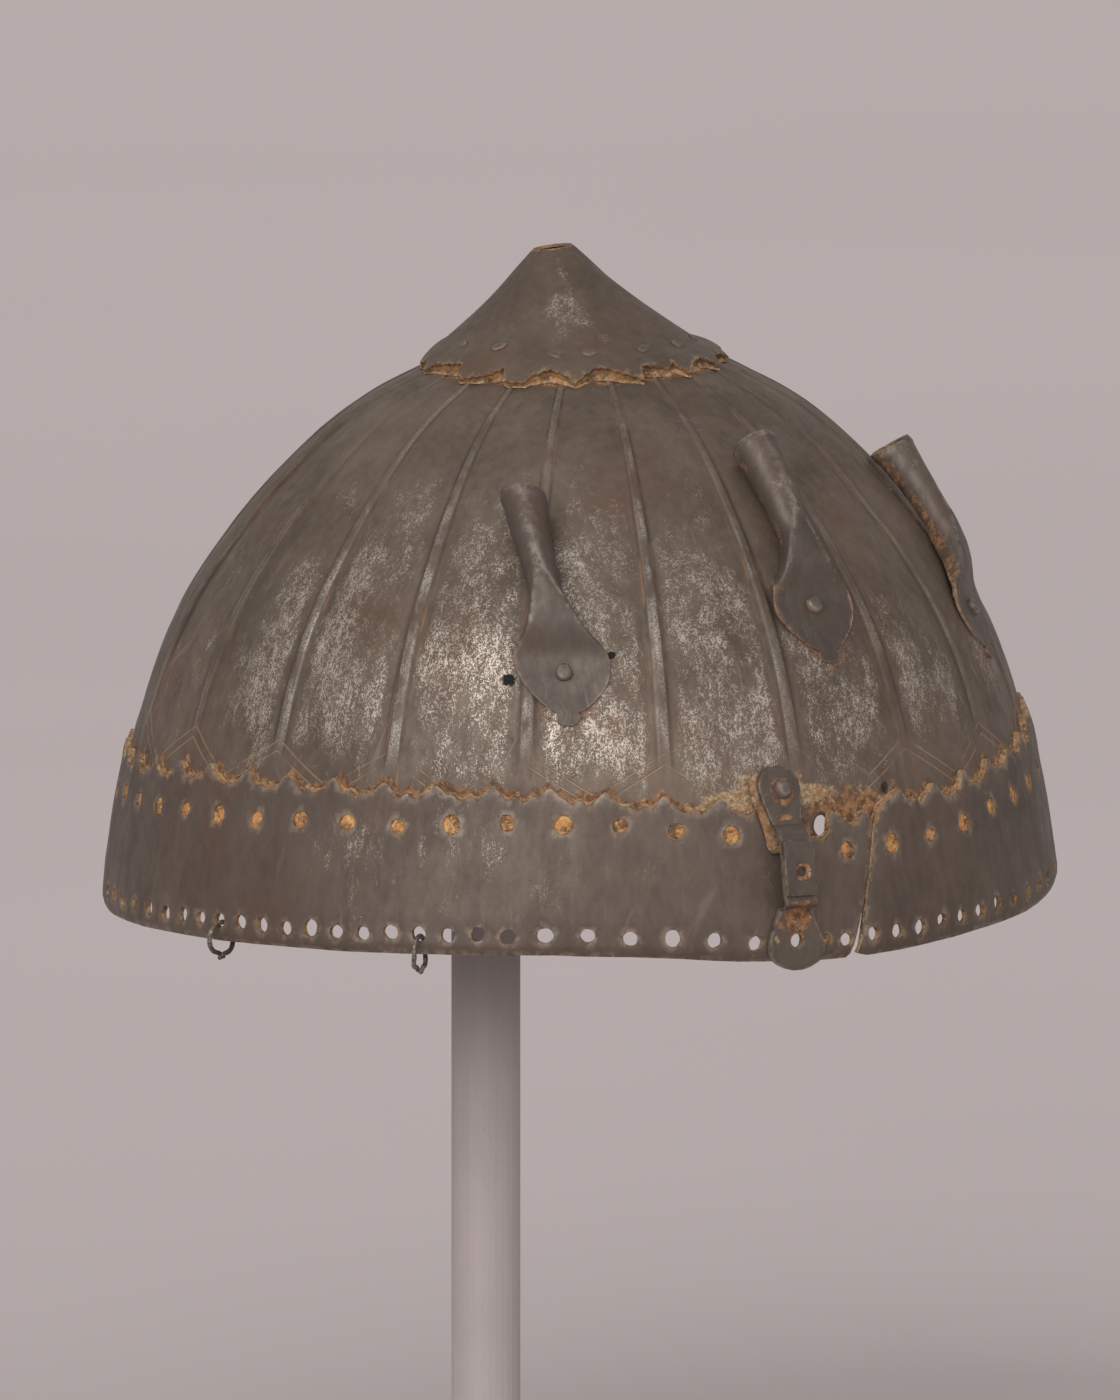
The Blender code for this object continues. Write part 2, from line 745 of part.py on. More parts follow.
def socket_section(tip_angle, mouth_angle, tip_height, share, width, roll, wall):
    """Closed outline of the rolled sheet at one station."""
    point, outward, side = socket_place(tip_angle, mouth_angle, tip_height, share)
    flat = width * SOCKET_WIDTH
    half = math.radians(roll) / 2
    bend = flat / (2 * half)
    count = 6
    rho = math.hypot(point.x, point.y)
    outer = []
    inner = []
    seat = -1.0
    for i in range(count + 1):
        a = -half + 2 * half * i / count
        outer.append((bend * math.sin(a), bend * (math.cos(a) - 1)))
        thin = bend - wall
        inner.append((thin * math.sin(a), thin * math.cos(a) - bend))
    for x, y in outer + inner:
        seat = max(seat, -x * x / (2 * rho) - y)
    seat += 2 * GAP + RIB_RISE
    return [point + side * x + outward * (y + seat) for x, y in outer + inner[::-1]]


def socket_values(share):
    cols = list(zip(*SOCKET_SHEET))
    return [float(np.interp(share, cols[0], cols[k])) for k in (1, 2)]


def build_sockets():
    for name, tip_angle, mouth_angle, tip_height in SOCKETS:
        bm = bmesh.new()
        sections = [socket_section(tip_angle, mouth_angle, tip_height, share, width, roll, SOCKET_WALL)
                    for share, width, roll in SOCKET_SHEET]
        loft(bm, sections)
        smooth_shading(from_bmesh("plume_socket_" + name, bm, SOCKET_IRON), 35)
        share = SOCKET_RIVET_SHARE
        width, roll = socket_values(share)
        section = socket_section(tip_angle, mouth_angle, tip_height, share, width, roll, SOCKET_WALL)
        point, outward, side = socket_place(tip_angle, mouth_angle, tip_height, share)
        front = section[len(section) // 4]
        up = side.cross(outward) * -1.0
        place = seat_frame(front + outward * GAP, outward, up)
        dome_rivet("socket_rivet_" + name, SOCKET_RIVET_DIAMETER, SOCKET_RIVET_HEIGHT, place, RIVET_IRON)


# Nasal bracket
def strap_middle(z):
    """Sideways place of the bracket's middle line, which leans."""
    share = (z - BRACKET_BOTTOM) / (BRACKET_TOP - BRACKET_BOTTOM)
    return BRACKET_FOOT_SHIFT + share * (BRACKET_HEAD_SHIFT - BRACKET_FOOT_SHIFT)


def strap_point(x, z, lift):
    """Point in front of the band at the brow."""
    r = band_radius(z)
    return Vector((x, -(math.sqrt(r * r - x * x) + lift), z))


def build_bracket():
    height = BRACKET_TOP - BRACKET_BOTTOM
    columns = 4
    bm = bmesh.new()
    grid = []
    for share, width, arch in BRACKET_STRAP:
        z = BRACKET_TOP - share * height
        under = BACKING_WALL + GAP if z > BACKING_BOTTOM - 2 * BRACKET_WALL else 0.0
        lift = GAP + max(under, arch * BRACKET_ARCH) + BRACKET_WALL
        row = []
        for i in range(columns + 1):
            x = (i / columns - 0.5) * width * BRACKET_WIDTH + strap_middle(z)
            flat = Vector((x, -(band_radius(z) + lift), z))
            laid = strap_point(x, z, lift)
            row.append(bm.verts.new(flat if arch > 0.5 else laid))
        grid.append(row)
    for top, low in zip(grid, grid[1:]):
        for i in range(columns):
            bm.faces.new((top[i], low[i], low[i + 1], top[i + 1]))
    strap = from_bmesh("nasal_bracket", bm, BRACKET_IRON)
    if strap.data.polygons[0].normal.y > 0:
        strap.data.flip_normals()
    solidify(strap, BRACKET_WALL)

    under = BACKING_WALL + GAP
    face = band_radius(BRACKET_PLATE_HEIGHT) + GAP + BRACKET_ARCH + BRACKET_WALL
    middle = strap_middle(BRACKET_PLATE_HEIGHT)
    foot = strap_middle(BRACKET_LOBE_HOLE_HEIGHT)
    foot_radius = band_radius(BRACKET_LOBE_HOLE_HEIGHT) + BRACKET_WALL
    bm = bmesh.new()
    depth = BRACKET_PLATE_RISE + BRACKET_WALL / 2
    bmesh.ops.create_cube(bm, size=1.0, matrix=Matrix.Translation(
        (middle, -(face - BRACKET_WALL / 2 + depth / 2), BRACKET_PLATE_HEIGHT)) @ Matrix.Diagonal(
        (BRACKET_PLATE_WIDTH * 0.96, depth, BRACKET_PLATE_LENGTH, 1.0)))
    cut(strap, from_bmesh("plate_block", bm, cutter=True), 'UNION')
    long = 6 * BRACKET_WALL
    holes = prism_holes("bracket_hole_cutter", [
        (math.degrees(middle / face), BRACKET_PLATE_HEIGHT, face, BRACKET_PLATE_HOLE),
        (math.degrees(foot / foot_radius), BRACKET_LOBE_HOLE_HEIGHT, foot_radius, BRACKET_LOBE_HOLE),
    ], 10, long / 2)
    cut(strap, holes)
    smooth_shading(strap, 35)

    rows = 6
    bm = bmesh.new()
    grid = []
    for k in range(rows + 1):
        z = BRACKET_TOP - BACKING_SHIFT + (BACKING_BOTTOM - BRACKET_TOP + BACKING_SHIFT) * k / rows
        wide = BACKING_WIDTH * BACKING_WIDTHS[k]
        row = []
        for i in range(4):
            x = (i / 3 - 0.5) * wide + strap_middle(z) - BACKING_SHIFT
            row.append(bm.verts.new(strap_point(x, z, GAP + BACKING_WALL)))
        grid.append(row)
    for top, low in zip(grid, grid[1:]):
        for i in range(3):
            bm.faces.new((top[i], low[i], low[i + 1], top[i + 1]))
    backing = from_bmesh("bracket_backing", bm, RUST)
    if backing.data.polygons[0].normal.y > 0:
        backing.data.flip_normals()
    solidify(backing, BACKING_WALL)

    z = BRACKET_RIVET_AT
    middle = strap_middle(z)
    here = strap_point(middle, z, GAP + under + BRACKET_WALL + GAP)
    step = BRACKET_WALL / 2
    slope = strap_point(middle, z + step, 0.0) - strap_point(middle, z - step, 0.0)
    across = strap_point(middle + step, z, 0.0) - strap_point(middle - step, z, 0.0)
    outward = across.cross(slope).normalized()
    place = seat_frame(here, outward, slope)
    dome_rivet("bracket_rivet", BRACKET_RIVET_DIAMETER, BRACKET_RIVET_HEIGHT, place, RIVET_IRON, sides=10)


# Wire rings
def build_rings():
    for name, angle in RINGS:
        near = min(runs(LOWER_HOLE_RUNS), key=lambda a: abs(a - angle))
        hole = band_line(near, 1) + LOWER_HOLE_UP
        middle = (RING_DIAMETER - RING_WIRE) / 2
        centre = Vector((0.0, 0.0, -middle))
        count = 13
        sweep = 360.0 + RING_OVERLAP
        curve = bpy.data.curves.new(name, 'CURVE')
        curve.dimensions = '3D'
        curve.bevel_depth = RING_WIRE / 2
        curve.bevel_resolution = 1
        curve.use_fill_caps = True
        curve.resolution_u = 1
        spline = curve.splines.new('POLY')
        spline.points.add(count)
        for i in range(count + 1):
            part = i / count - 0.5
            a = math.radians(part * sweep)
            step = RING_SIDE_STEP * (1 if part > 0 else -1) * ease((abs(part) * sweep - 90.0) / 70.0)
            p = centre + Vector((step, -middle * math.sin(a), middle * math.cos(a)))
            spline.points[i].co = (p.x, p.y, p.z, 1.0)
        curve.materials.append(WIRE)
        obj = bpy.data.objects.new(name, curve)
        PARTS.objects.link(obj)
        obj.parent = helmet
        slack = LOWER_HOLE / 2 * math.cos(math.pi / HOLE_SIDES) - RING_WIRE / 2 - GAP
        obj.location = polar(near, band_radius(hole) - BAND_WALL / 2, hole - slack)
        obj.rotation_euler = (0.0, 0.0, math.radians(near))


build_stand()
build_bowl()
build_band()
build_finial()
build_sockets()
build_bracket()
build_rings()
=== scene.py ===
"""Fluted iron helmet on a round display post: fine surfaces, materials, light and camera."""
import math

import bmesh
import bpy
import numpy as np
from mathutils import Matrix, Vector, noise
from mathutils.geometry import delaunay_2d_cdt


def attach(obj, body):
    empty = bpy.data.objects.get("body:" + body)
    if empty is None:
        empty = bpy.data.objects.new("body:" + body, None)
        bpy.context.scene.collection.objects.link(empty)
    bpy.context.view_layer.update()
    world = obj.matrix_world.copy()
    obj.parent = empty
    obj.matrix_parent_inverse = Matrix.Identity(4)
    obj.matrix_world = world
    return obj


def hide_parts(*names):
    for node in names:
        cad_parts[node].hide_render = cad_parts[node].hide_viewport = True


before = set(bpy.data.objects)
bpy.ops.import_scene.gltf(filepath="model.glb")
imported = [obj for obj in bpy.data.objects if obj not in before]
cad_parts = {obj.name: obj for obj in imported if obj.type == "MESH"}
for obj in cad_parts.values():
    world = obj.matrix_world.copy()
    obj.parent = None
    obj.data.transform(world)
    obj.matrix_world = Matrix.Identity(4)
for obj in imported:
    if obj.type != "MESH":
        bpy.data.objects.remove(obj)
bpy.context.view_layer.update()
HELMET = "helmet_on_stand"
MM = 0.001

# The helmet's axis at the height that bowl and band are measured from, in metres
AXIS = Vector((0.020226, -0.010306, 0.150))
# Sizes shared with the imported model, in millimetres and degrees
GAP = 0.3
BOWL_R, BOWL_LOW, BOWL_TOP, BOWL_WALL = 110.1, 15.5, 133.5, 1.6
BAND_R, BAND_H, BAND_SEAT, BAND_WALL = 114.2, 39.0, 31.5, 1.5
EDGE_R, TIP_R, TIP_Z, CAP_WALL = 37.0, 4.65, 155.2, 0.9
RIBS, RIB_PHASE = 20, 2.0
GORE = 360.0 / RIBS
# Where the flat patterns of band and finial begin and end
BAND_ENDS, CAP_ENDS = (-117.0, 243.0), (-100.0, 260.0)
RING_ANGLES, RING_HOLE = (-75.62, -46.5), 4.8
SCALLOP_DEPTH = 3.7

# Share of the height and share of the radius
BOWL_OUTLINE = ((0.000, 1.000), (0.178, 0.972), (0.250, 0.950), (0.377, 0.902), (0.504, 0.833),
                (0.631, 0.737), (0.716, 0.659), (0.801, 0.568), (0.869, 0.476), (0.919, 0.382),
                (0.970, 0.264), (1.000, 0.109))
BAND_FLARE = ((0.00, 1.00), (0.24, 0.87), (0.39, 0.71), (0.55, 0.56), (0.70, 0.40), (0.85, 0.21),
              (1.00, 0.00))
# Angle, rim edge, crest line, upper row of holes, as shares of the band's height
BAND_LINE = ((-117, -0.067, 0.95, 0.650), (-100, -0.062, 0.96, 0.690), (-84, -0.049, 1.00, 0.700),
             (-57, -0.026, 1.00, 0.745), (-30, -0.003, 1.00, 0.790), (-21, -0.015, 0.96, 0.780),
             (-14, -0.036, 0.93, 0.720), (-8, -0.062, 0.92, 0.705), (0, -0.082, 0.90, 0.640),
             (8, -0.077, 0.89, 0.575), (15, -0.068, 0.89, 0.577), (22, -0.040, 0.90, 0.600),
             (29, -0.015, 0.94, 0.660), (36, 0.003, 0.98, 0.710), (42, 0.020, 1.00, 0.725),
             (50, 0.055, 1.07, 0.790), (57, 0.080, 1.16, 0.820), (63, 0.110, 1.20, 0.840),
             (90, 0.140, 1.17, 0.820), (122, 0.180, 1.13, 0.790), (150, 0.120, 1.08, 0.750),
             (180, 0.040, 1.04, 0.725), (210, -0.040, 1.00, 0.700), (243, -0.067, 0.95, 0.650))


def smooth_line(points, steps):
    """Curve through the points, with so many steps between two of them."""
    pts = [np.array(p, float) for p in points]
    pts = [2 * pts[0] - pts[1]] + pts + [2 * pts[-1] - pts[-2]]
    out = []
    for i in range(1, len(pts) - 2):
        a, b, c, d = pts[i - 1:i + 3]
        for k in range(steps):
            t = k / steps
            out.append(0.5 * (2 * b + (c - a) * t + (2 * a - 5 * b + 4 * c - d) * t * t
                              + (3 * b - a - 3 * c + d) * t ** 3))
    out.append(pts[-2])
    return np.array(out)


# The bowl's outline: heights, radii and lengths along it
LINE = smooth_line(BOWL_OUTLINE, 40)
LINE_Z = BOWL_LOW + LINE[:, 0] * (BOWL_TOP - BOWL_LOW)
LINE_R = LINE[:, 1] * BOWL_R
LINE_S = np.concatenate(([0.0], np.cumsum(np.hypot(np.diff(LINE_Z), np.diff(LINE_R)))))


def clip(x):
    return min(max(x, 0.0), 1.0)


def ease(x):
    x = clip(x)
    return x * x * (3 - 2 * x)


def fade(x, width):
    return math.exp(-(x / width) ** 2)


def lookup(x, table, column=1):
    """Value in a table's column, with the first column as its scale."""
    return float(np.interp(x, [row[0] for row in table], [row[column] for row in table]))


def bowl_radius(z):
    return float(np.interp(z, LINE_Z, LINE_R))


def dome_height(radius):
    return float(np.interp(radius, LINE_R[::-1], LINE_Z[::-1]))


def bowl_normal(z):
    """Outward and upward parts of the bowl's normal."""
    lo = max(z - 1.5, BOWL_LOW)
    hi = min(z + 1.5, BOWL_TOP)
    dr = bowl_radius(hi) - bowl_radius(lo)
    size = math.hypot(dr, hi - lo)
    return (hi - lo) / size, -dr / size


def band_radius(z):
    seat = bowl_radius(max(z, BAND_SEAT)) + GAP + BAND_WALL
    return seat + (BAND_R - seat) * lookup(clip(z / BAND_SEAT), BAND_FLARE)


def at_front(angle):
    """The same angle, between the two ends of the band."""
    return (angle - BAND_ENDS[1]) % 360.0 + BAND_ENDS[0]


def band_line(angle, column):
    while angle < BAND_ENDS[0]:
        angle += 360.0
    while angle > BAND_ENDS[1]:
        angle -= 360.0
    return lookup(angle, BAND_LINE, column) * BAND_H


def polar(angle, radius, z):
    """A point of the helmet in the row frame; radius and height in millimetres."""
    a = math.radians(angle)
    return AXIS + Vector((radius * math.sin(a), -radius * math.cos(a), z)) * MM


def turn(angle, x, y, z):
    """A direction given as sideways, outward and upward parts at an angle."""
    a = math.radians(angle)
    return Vector((x * math.cos(a) + y * math.sin(a), x * math.sin(a) - y * math.cos(a), z))


def fractal(x, y, seed):
    v = Vector((x, y, seed))
    return 0.6 * noise.noise(v) + 0.3 * noise.noise(v * 2.3) + 0.15 * noise.noise(v * 5.1)


def blob(angle, z, centre, size):
    """Soft spot on the helmet: centre and size as (angle, height)."""
    return math.exp(-((angle - centre[0]) / size[0]) ** 2 - ((z - centre[1]) / size[1]) ** 2)


def marks(x, z, table):
    """Sum of soft spots, each a row of amount, place and size."""
    return sum(amount * blob(x, z, (cx, cz), (wide, tall)) for amount, cx, cz, wide, tall in table)


# Making meshes
def add_object(name, data):
    obj = bpy.data.objects.new(name, data)
    bpy.context.scene.collection.objects.link(obj)
    return obj


def new_piece(name, verts, faces, mat, attrs=None, body=HELMET, slot="iron", replaces=(), wall=None,
              outward=False, sharp=None):
    """A mesh with its surface attributes, tied to its body; wall is the material of its cut edges."""
    mesh = bpy.data.meshes.new(name)
    mesh.from_pydata([tuple(v) for v in verts], [], [tuple(int(i) for i in f) for f in faces])
    for key, values in (attrs or {}).items():
        layer = mesh.attributes.new(key, 'FLOAT', 'POINT')
        layer.data.foreach_set("value", np.asarray(values, dtype=np.float32))
    mesh.validate()
    mesh.update()
    mesh.shade_smooth()
    obj = add_object(name, mesh)
    mesh.materials.append(mat)
    if wall:
        mesh.materials.append(wall)
        for face in mesh.polygons:
            face.material_index = 1 if len(face.vertices) == 4 else 0
    bpy.context.view_layer.update()
    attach(obj, body)
    if replaces:
        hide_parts(*replaces)
    if outward:
        fix_normals(mesh)
    if sharp:
        mesh.set_sharp_from_angle(angle=math.radians(sharp))
    return obj


def fix_normals(mesh):
    bm = bmesh.new()
    bm.from_mesh(mesh)
    bmesh.ops.recalc_face_normals(bm, faces=bm.faces[:])
    bm.to_mesh(mesh)
    bm.free()


def grid_faces(rows, count, first=0, closed=True):
    """Faces over rows of points; a closed row joins its last point to its first."""
    for j in range(rows - 1):
        for i in range(count if closed else count - 1):
            a, b = first + j * count + i, first + j * count + (i + 1) % count
            yield a, b, b + count, a + count


class Pattern:
    """A flat pattern of points and fixed edges, to be filled with triangles."""

    def __init__(self):
        self.points, self.edges = [], []

    def put(self, u, v):
        self.points.append((u, v))
        return len(self.points) - 1

    def chain(self, pts, close=False):
        ids = [self.put(u, v) for u, v in pts]
        self.edges.extend(zip(ids, ids[1:]))
        if close:
            self.edges.append((ids[-1], ids[0]))

    def triangles(self, inside):
        """Triangles that keep the fixed edges, where inside says so."""
        verts = [Vector((float(p[0]), float(p[1]))) for p in self.points]
        out = delaunay_2d_cdt(verts, self.edges, [], 0, 1e-5)
        coords = np.array([(v.x, v.y) for v in out[0]])
        tris = np.array(out[2])
        tris = tris[inside(coords[tris].mean(axis=1))]
        a, b, c = coords[tris[:, 0]], coords[tris[:, 1]], coords[tris[:, 2]]
        area = (b[:, 0] - a[:, 0]) * (c[:, 1] - a[:, 1]) - (b[:, 1] - a[:, 1]) * (c[:, 0] - a[:, 0])
        keep = np.abs(area) > 1e-7
        tris, area = tris[keep], area[keep]
        tris[area < 0] = tris[area < 0][:, ::-1]
        return coords, tris


def sheet_from_pattern(pattern, inside, ends, outer_of, inner_of, values_of, edge_round=0.14):
    """Closed sheet from a flat pattern: outer face, inner face and the cut edges between."""
    coords, tris = pattern.triangles(inside)
    remap = np.arange(len(coords))
    lefts = sorted((coords[i, 1], i) for i in np.where(coords[:, 0] <= ends[0] + 1e-6)[0])
    rights = sorted((coords[i, 1], i) for i in np.where(coords[:, 0] >= ends[1] - 1e-6)[0])
    for (_, ia), (_, ib) in zip(lefts, rights):
        remap[ib] = ia
    tris = remap[tris]
    used = np.unique(tris)
    index = {int(v): k for k, v in enumerate(used)}
    tris = [tuple(index[int(i)] for i in t) for t in tris]
    pts = coords[used]
    n = len(pts)
    sides = {(t[i], t[(i + 1) % 3]) for t in tris for i in range(3)}
    border = [(t[i], t[(i + 1) % 3]) for t in tris for i in range(3) if (t[(i + 1) % 3], t[i]) not in sides]
    rim = set(i for e in border for i in e)
    verts = [outer_of(u, v, edge_round if i in rim else 0.0) for i, (u, v) in enumerate(pts)]
    verts += [inner_of(u, v) for u, v in pts]
    found = [values_of(u, v) for u, v in pts] * 2
    values = {key: [row[key] for row in found] for key in found[0]}
    values["edge"] = [1.0 if i in rim else 0.0 for i in range(n)] * 2
    faces = tris + [(t[0] + n, t[2] + n, t[1] + n) for t in tris]
    faces += [(b, a, a + n, b + n) for a, b in border]
    return verts, faces, values


# Materials
class Nodes:
    """Short names for the shader nodes that the materials are built from."""

    def __init__(self, name):
        self.mat = bpy.data.materials.new(name)
        self.mat.use_nodes = True
        self.tree = self.mat.node_tree

    def add(self, kind, inputs, **values):
        node = self.tree.nodes.new(kind)
        for key, value in values.items():
            setattr(node, key, value)
        for key, value in inputs.items():
            self.put(node.inputs[key], value)
        return node

    def put(self, socket, value):
        if isinstance(value, bpy.types.NodeSocket):
            self.tree.links.new(value, socket)
        else:
            socket.default_value = (*value, 1.0) if socket.type == 'RGBA' else value

    def coords(self, scale=(1, 1, 1), turn_by=(0, 0, 0)):
        inputs = {"Vector": self.add('ShaderNodeTexCoord', {}).outputs["Object"],
                  "Scale": scale, "Rotation": turn_by}
        return self.add('ShaderNodeMapping', inputs).outputs["Vector"]

    def noise(self, scale, detail=4.0, roughness=0.55, stretch=(1, 1, 1), turn_by=(0, 0, 0), distortion=0.0):
        inputs = {"Vector": self.coords(stretch, turn_by), "Scale": scale, "Detail": detail,
                  "Roughness": roughness, "Distortion": distortion}
        return self.add('ShaderNodeTexNoise', inputs).outputs["Fac"]

    def attr(self, name):
        return self.add('ShaderNodeAttribute', {}, attribute_name=name).outputs["Fac"]

    def math(self, op, a, b=0.0):
        return self.add('ShaderNodeMath', {0: a, 1: b}, operation=op).outputs[0]

    def times(self, a, b):
        return self.math('MULTIPLY', a, b)

    def plus(self, a, b):
        return self.math('ADD', a, b)

    def minus(self, a, b):
        return self.math('SUBTRACT', a, b)

    def span(self, value, low, high, to_low=0.0, to_high=1.0):
        """Smooth step of a value from one range to another."""
        inputs = {"Value": value, "From Min": low, "From Max": high, "To Min": to_low, "To Max": to_high}
        return self.add('ShaderNodeMapRange', inputs, interpolation_type='SMOOTHSTEP').outputs["Result"]

    def mix(self, fac, a, b):
        return self.add('ShaderNodeMix', {"Factor": fac, 6: a, 7: b}, data_type='RGBA').outputs[2]

    def blend(self, fac, a, b):
        """Plain mix of two numbers."""
        return self.add('ShaderNodeMix', {"Factor": fac, 2: a, 3: b}, data_type='FLOAT').outputs[0]

    def bump(self, height, distance, strength, normal=None):
        inputs = {"Strength": strength, "Distance": distance, "Height": height}
        if normal is not None:
            inputs["Normal"] = normal
        return self.add('ShaderNodeBump', inputs).outputs["Normal"]

    def finish(self, colour, roughness, metallic, normal):
        shader = self.tree.nodes["Principled BSDF"]
        for key, value in (("Base Color", colour), ("Roughness", roughness), ("Metallic", metallic),
                           ("Normal", normal)):
            self.put(shader.inputs[key], value)
        return self.mat


class Iron(Nodes):
    """Worn brown iron, built up layer by layer."""

    def __init__(self, name, dark, light, scratch, gloss):
        super().__init__(name)
        self.broad = self.noise(22, 3, 0.5)
        self.cloud = self.noise(85, 5, 0.6, stretch=(1, 1, 0.55))
        fine = self.noise(420, 5, 0.65, stretch=(1, 1, 0.45))
        tone = self.plus(self.times(self.broad, 0.45), self.times(self.cloud, 0.40))
        self.colour = self.mix(self.span(self.plus(tone, self.times(fine, 0.35)), 0.40, 0.80), dark, light)
        warm = self.span(self.noise(48, 4, 0.6, stretch=(1, 1, 0.7)), 0.50, 0.72)
        self.lay(warm, 0.45, (dark[0] * 1.55, dark[1] * 1.10, dark[2] * 0.95))
        cool = self.span(self.noise(31, 3, 0.5, turn_by=(0.4, 0.9, 0.2)), 0.55, 0.75)
        self.lay(cool, 0.25, (dark[0] * 0.88, dark[1] * 0.95, dark[2] * 1.05))
        self.height = self.times(fine, 0.5)
        self.lift(self.noise(1500, 3, 0.7), 0.35)
        self.rough = self.span(self.plus(self.times(self.cloud, 0.5), self.times(fine, 0.5)),
                               0.3, 0.7, 0.62 - gloss, 0.44 - gloss)
        self.metal = 0.35
        self.scratches(scratch)

    def lay(self, mask, share, colour):
        """Covers what the mask shows with a colour."""
        self.colour = self.mix(self.times(mask, share), self.colour, colour)

    def lift(self, mask, by):
        self.height = self.plus(self.height, self.times(mask, by))

    def surface(self, mask, metal, rough=None):
        self.metal = self.blend(mask, self.metal, metal)
        if rough is not None:
            self.rough = self.blend(mask, self.rough, rough)

    def grown(self, grow, amount, steep, low, high):
        """Mask of a ragged growth that spreads with its amount."""
        level = self.plus(grow, self.times(self.minus(amount, 0.5), steep))
        return self.times(self.span(level, low, high), self.span(amount, 0.02, 0.2))

    def scratches(self, scratch):
        """Hair scratches in two directions."""
        lines = self.noise(900, 2, 0.5, stretch=(0.05, 1, 0.05), turn_by=(0.3, 0.5, 0.9), distortion=0.3)
        more = self.noise(800, 2, 0.5, stretch=(1, 0.06, 0.06), turn_by=(0.7, 0.2, 0.4), distortion=0.3)
        hair = self.math('MAXIMUM', self.span(lines, 0.66, 0.74), self.span(more, 0.67, 0.75))
        hair = self.times(self.times(hair, self.span(self.noise(60, 3, 0.5), 0.45, 0.65)), scratch)
        self.lay(hair, 0.6, (0.34, 0.29, 0.25))
        self.lift(hair, -0.4)

    def speck(self, amount):
        """Silvery specks and glints with a brown haze round them."""
        group = self.noise(75, 4, 0.6, stretch=(1, 1, 0.6))
        streaky = self.noise(330, 4, 0.7, stretch=(1, 1, 0.32), distortion=0.3)
        coarse = self.noise(1250, 3, 0.7, stretch=(1, 1, 0.55), turn_by=(0.3, 0.2, 0.1))
        grain = self.times(self.noise(2900, 2, 0.7, stretch=(1, 1, 0.7)), 0.6)
        grain = self.plus(grain, self.times(coarse, 0.4))
        dense = self.plus(self.times(self.minus(group, 0.5), 1.25), self.times(self.minus(streaky, 0.5), 1.3))
        dense = self.plus(dense, self.minus(self.times(amount, 1.15), 0.12))
        dense = self.times(dense, self.span(amount, 0.01, 0.14))
        level = self.plus(grain, self.times(dense, 0.165))
        mask = self.times(self.span(level, 0.545, 0.63), self.span(dense, 0.0, 0.60))
        self.lay(self.span(dense, 0.10, 1.05), 0.48, (0.245, 0.198, 0.160))
        self.lay(mask, 0.90, (0.51, 0.43, 0.355))
        glints = self.times(self.span(level, 0.63, 0.70), self.span(dense, 0.35, 0.9))
        self.lay(glints, 0.85, (0.72, 0.64, 0.55))
        self.surface(mask, 0.60, 0.46)
        self.lift(mask, 0.45)

    def crest(self, near):
        """Rubbed ribs, partly painted highlight, with painted shade in the hollow and rust stains beside
        them.
        """
        # the ribs attribute: rubbed wear and painted highlight on the crests; the painted shade beside them
        # follows it
        lit = self.attr("ribs")
        worn = self.times(self.span(near, 1.04, 0.90),
                          self.span(self.noise(120, 3, 0.6, stretch=(1, 1, 0.3)), 0.40, 0.58))
        worn = self.times(worn, lit)
        dots = self.span(self.noise(1900, 3, 0.7), 0.40, 0.58)
        self.lay(worn, 0.9, self.mix(dots, (0.205, 0.172, 0.146), (0.52, 0.46, 0.40)))
        self.surface(self.times(worn, 0.8), 0.6)
        # painted shade in the hollow beside each lit rib
        groove_shade = self.times(self.span(near, 1.0, 1.2), self.span(near, 2.1, 1.35))
        self.lay(self.times(groove_shade, self.span(lit, 0.0, 0.3)), 0.42, (0.040, 0.028, 0.021))
        stain = self.times(self.times(self.span(near, 1.05, 1.3), self.span(near, 1.75, 1.45)),
                           self.span(self.noise(70, 3, 0.6, stretch=(1, 1, 0.35)), 0.50, 0.62))
        self.lay(stain, 0.58, (0.32, 0.165, 0.078))

    def line(self, away):
        """A pair of engraved lines, broken up by wear."""
        pair = self.math('ABSOLUTE', self.minus(self.math('ABSOLUTE', away), 1.1))
        left = self.span(self.noise(75, 3, 0.6), 0.44, 0.54, 0.04, 1.0)
        cut = self.times(self.span(pair, 0.32, 0.14), left)
        self.lay(cut, 0.60, (0.42, 0.265, 0.145))
        self.lift(cut, -1.3)

    def rust(self, amount):
        grow = self.plus(self.times(self.noise(170, 5, 0.7), 0.6), self.times(self.noise(700, 4, 0.7), 0.4))
        mask = self.grown(grow, amount, 0.55, 0.46, 0.62)
        rusty = self.mix(self.span(self.noise(520, 4, 0.7), 0.38, 0.62), (0.120, 0.055, 0.028),
                         (0.37, 0.180, 0.075))
        rusty = self.mix(self.span(self.noise(900, 3, 0.7), 0.58, 0.72), rusty, (0.52, 0.36, 0.20))
        self.lay(mask, 0.88, rusty)
        self.surface(mask, 0.0, 0.88)
        self.lift(self.times(mask, self.noise(900, 3, 0.7)), 1.6)

    def pale(self, amount):
        """Chalky crust."""
        mask = self.grown(self.noise(260, 5, 0.75), amount, 0.6, 0.46, 0.64)
        chalk = self.mix(self.span(self.noise(1100, 4, 0.75), 0.40, 0.60), (0.30, 0.178, 0.090),
                         (0.62, 0.465, 0.285))
        chalk = self.mix(self.span(self.noise(240, 4, 0.7), 0.48, 0.66), chalk, (0.36, 0.185, 0.082))
        self.lay(mask, 0.85, chalk)
        self.lift(self.times(mask, self.noise(1100, 3, 0.7)), 1.2)
        self.surface(mask, 0.0, 0.9)

    def glint(self, amount):
        """Painted highlights: light rims of holes and creases."""
        bright = self.times(amount, self.span(self.noise(300, 4, 0.7), 0.42, 0.60))
        self.lay(bright, 0.55, (0.44, 0.37, 0.31))

    def edge(self, amount):
        """Edges rubbed to bare metal."""
        worn = self.times(amount, self.span(self.noise(340, 4, 0.7), 0.44, 0.58))
        self.lay(worn, 0.55, (0.40, 0.32, 0.24))
        self.surface(worn, 0.5)

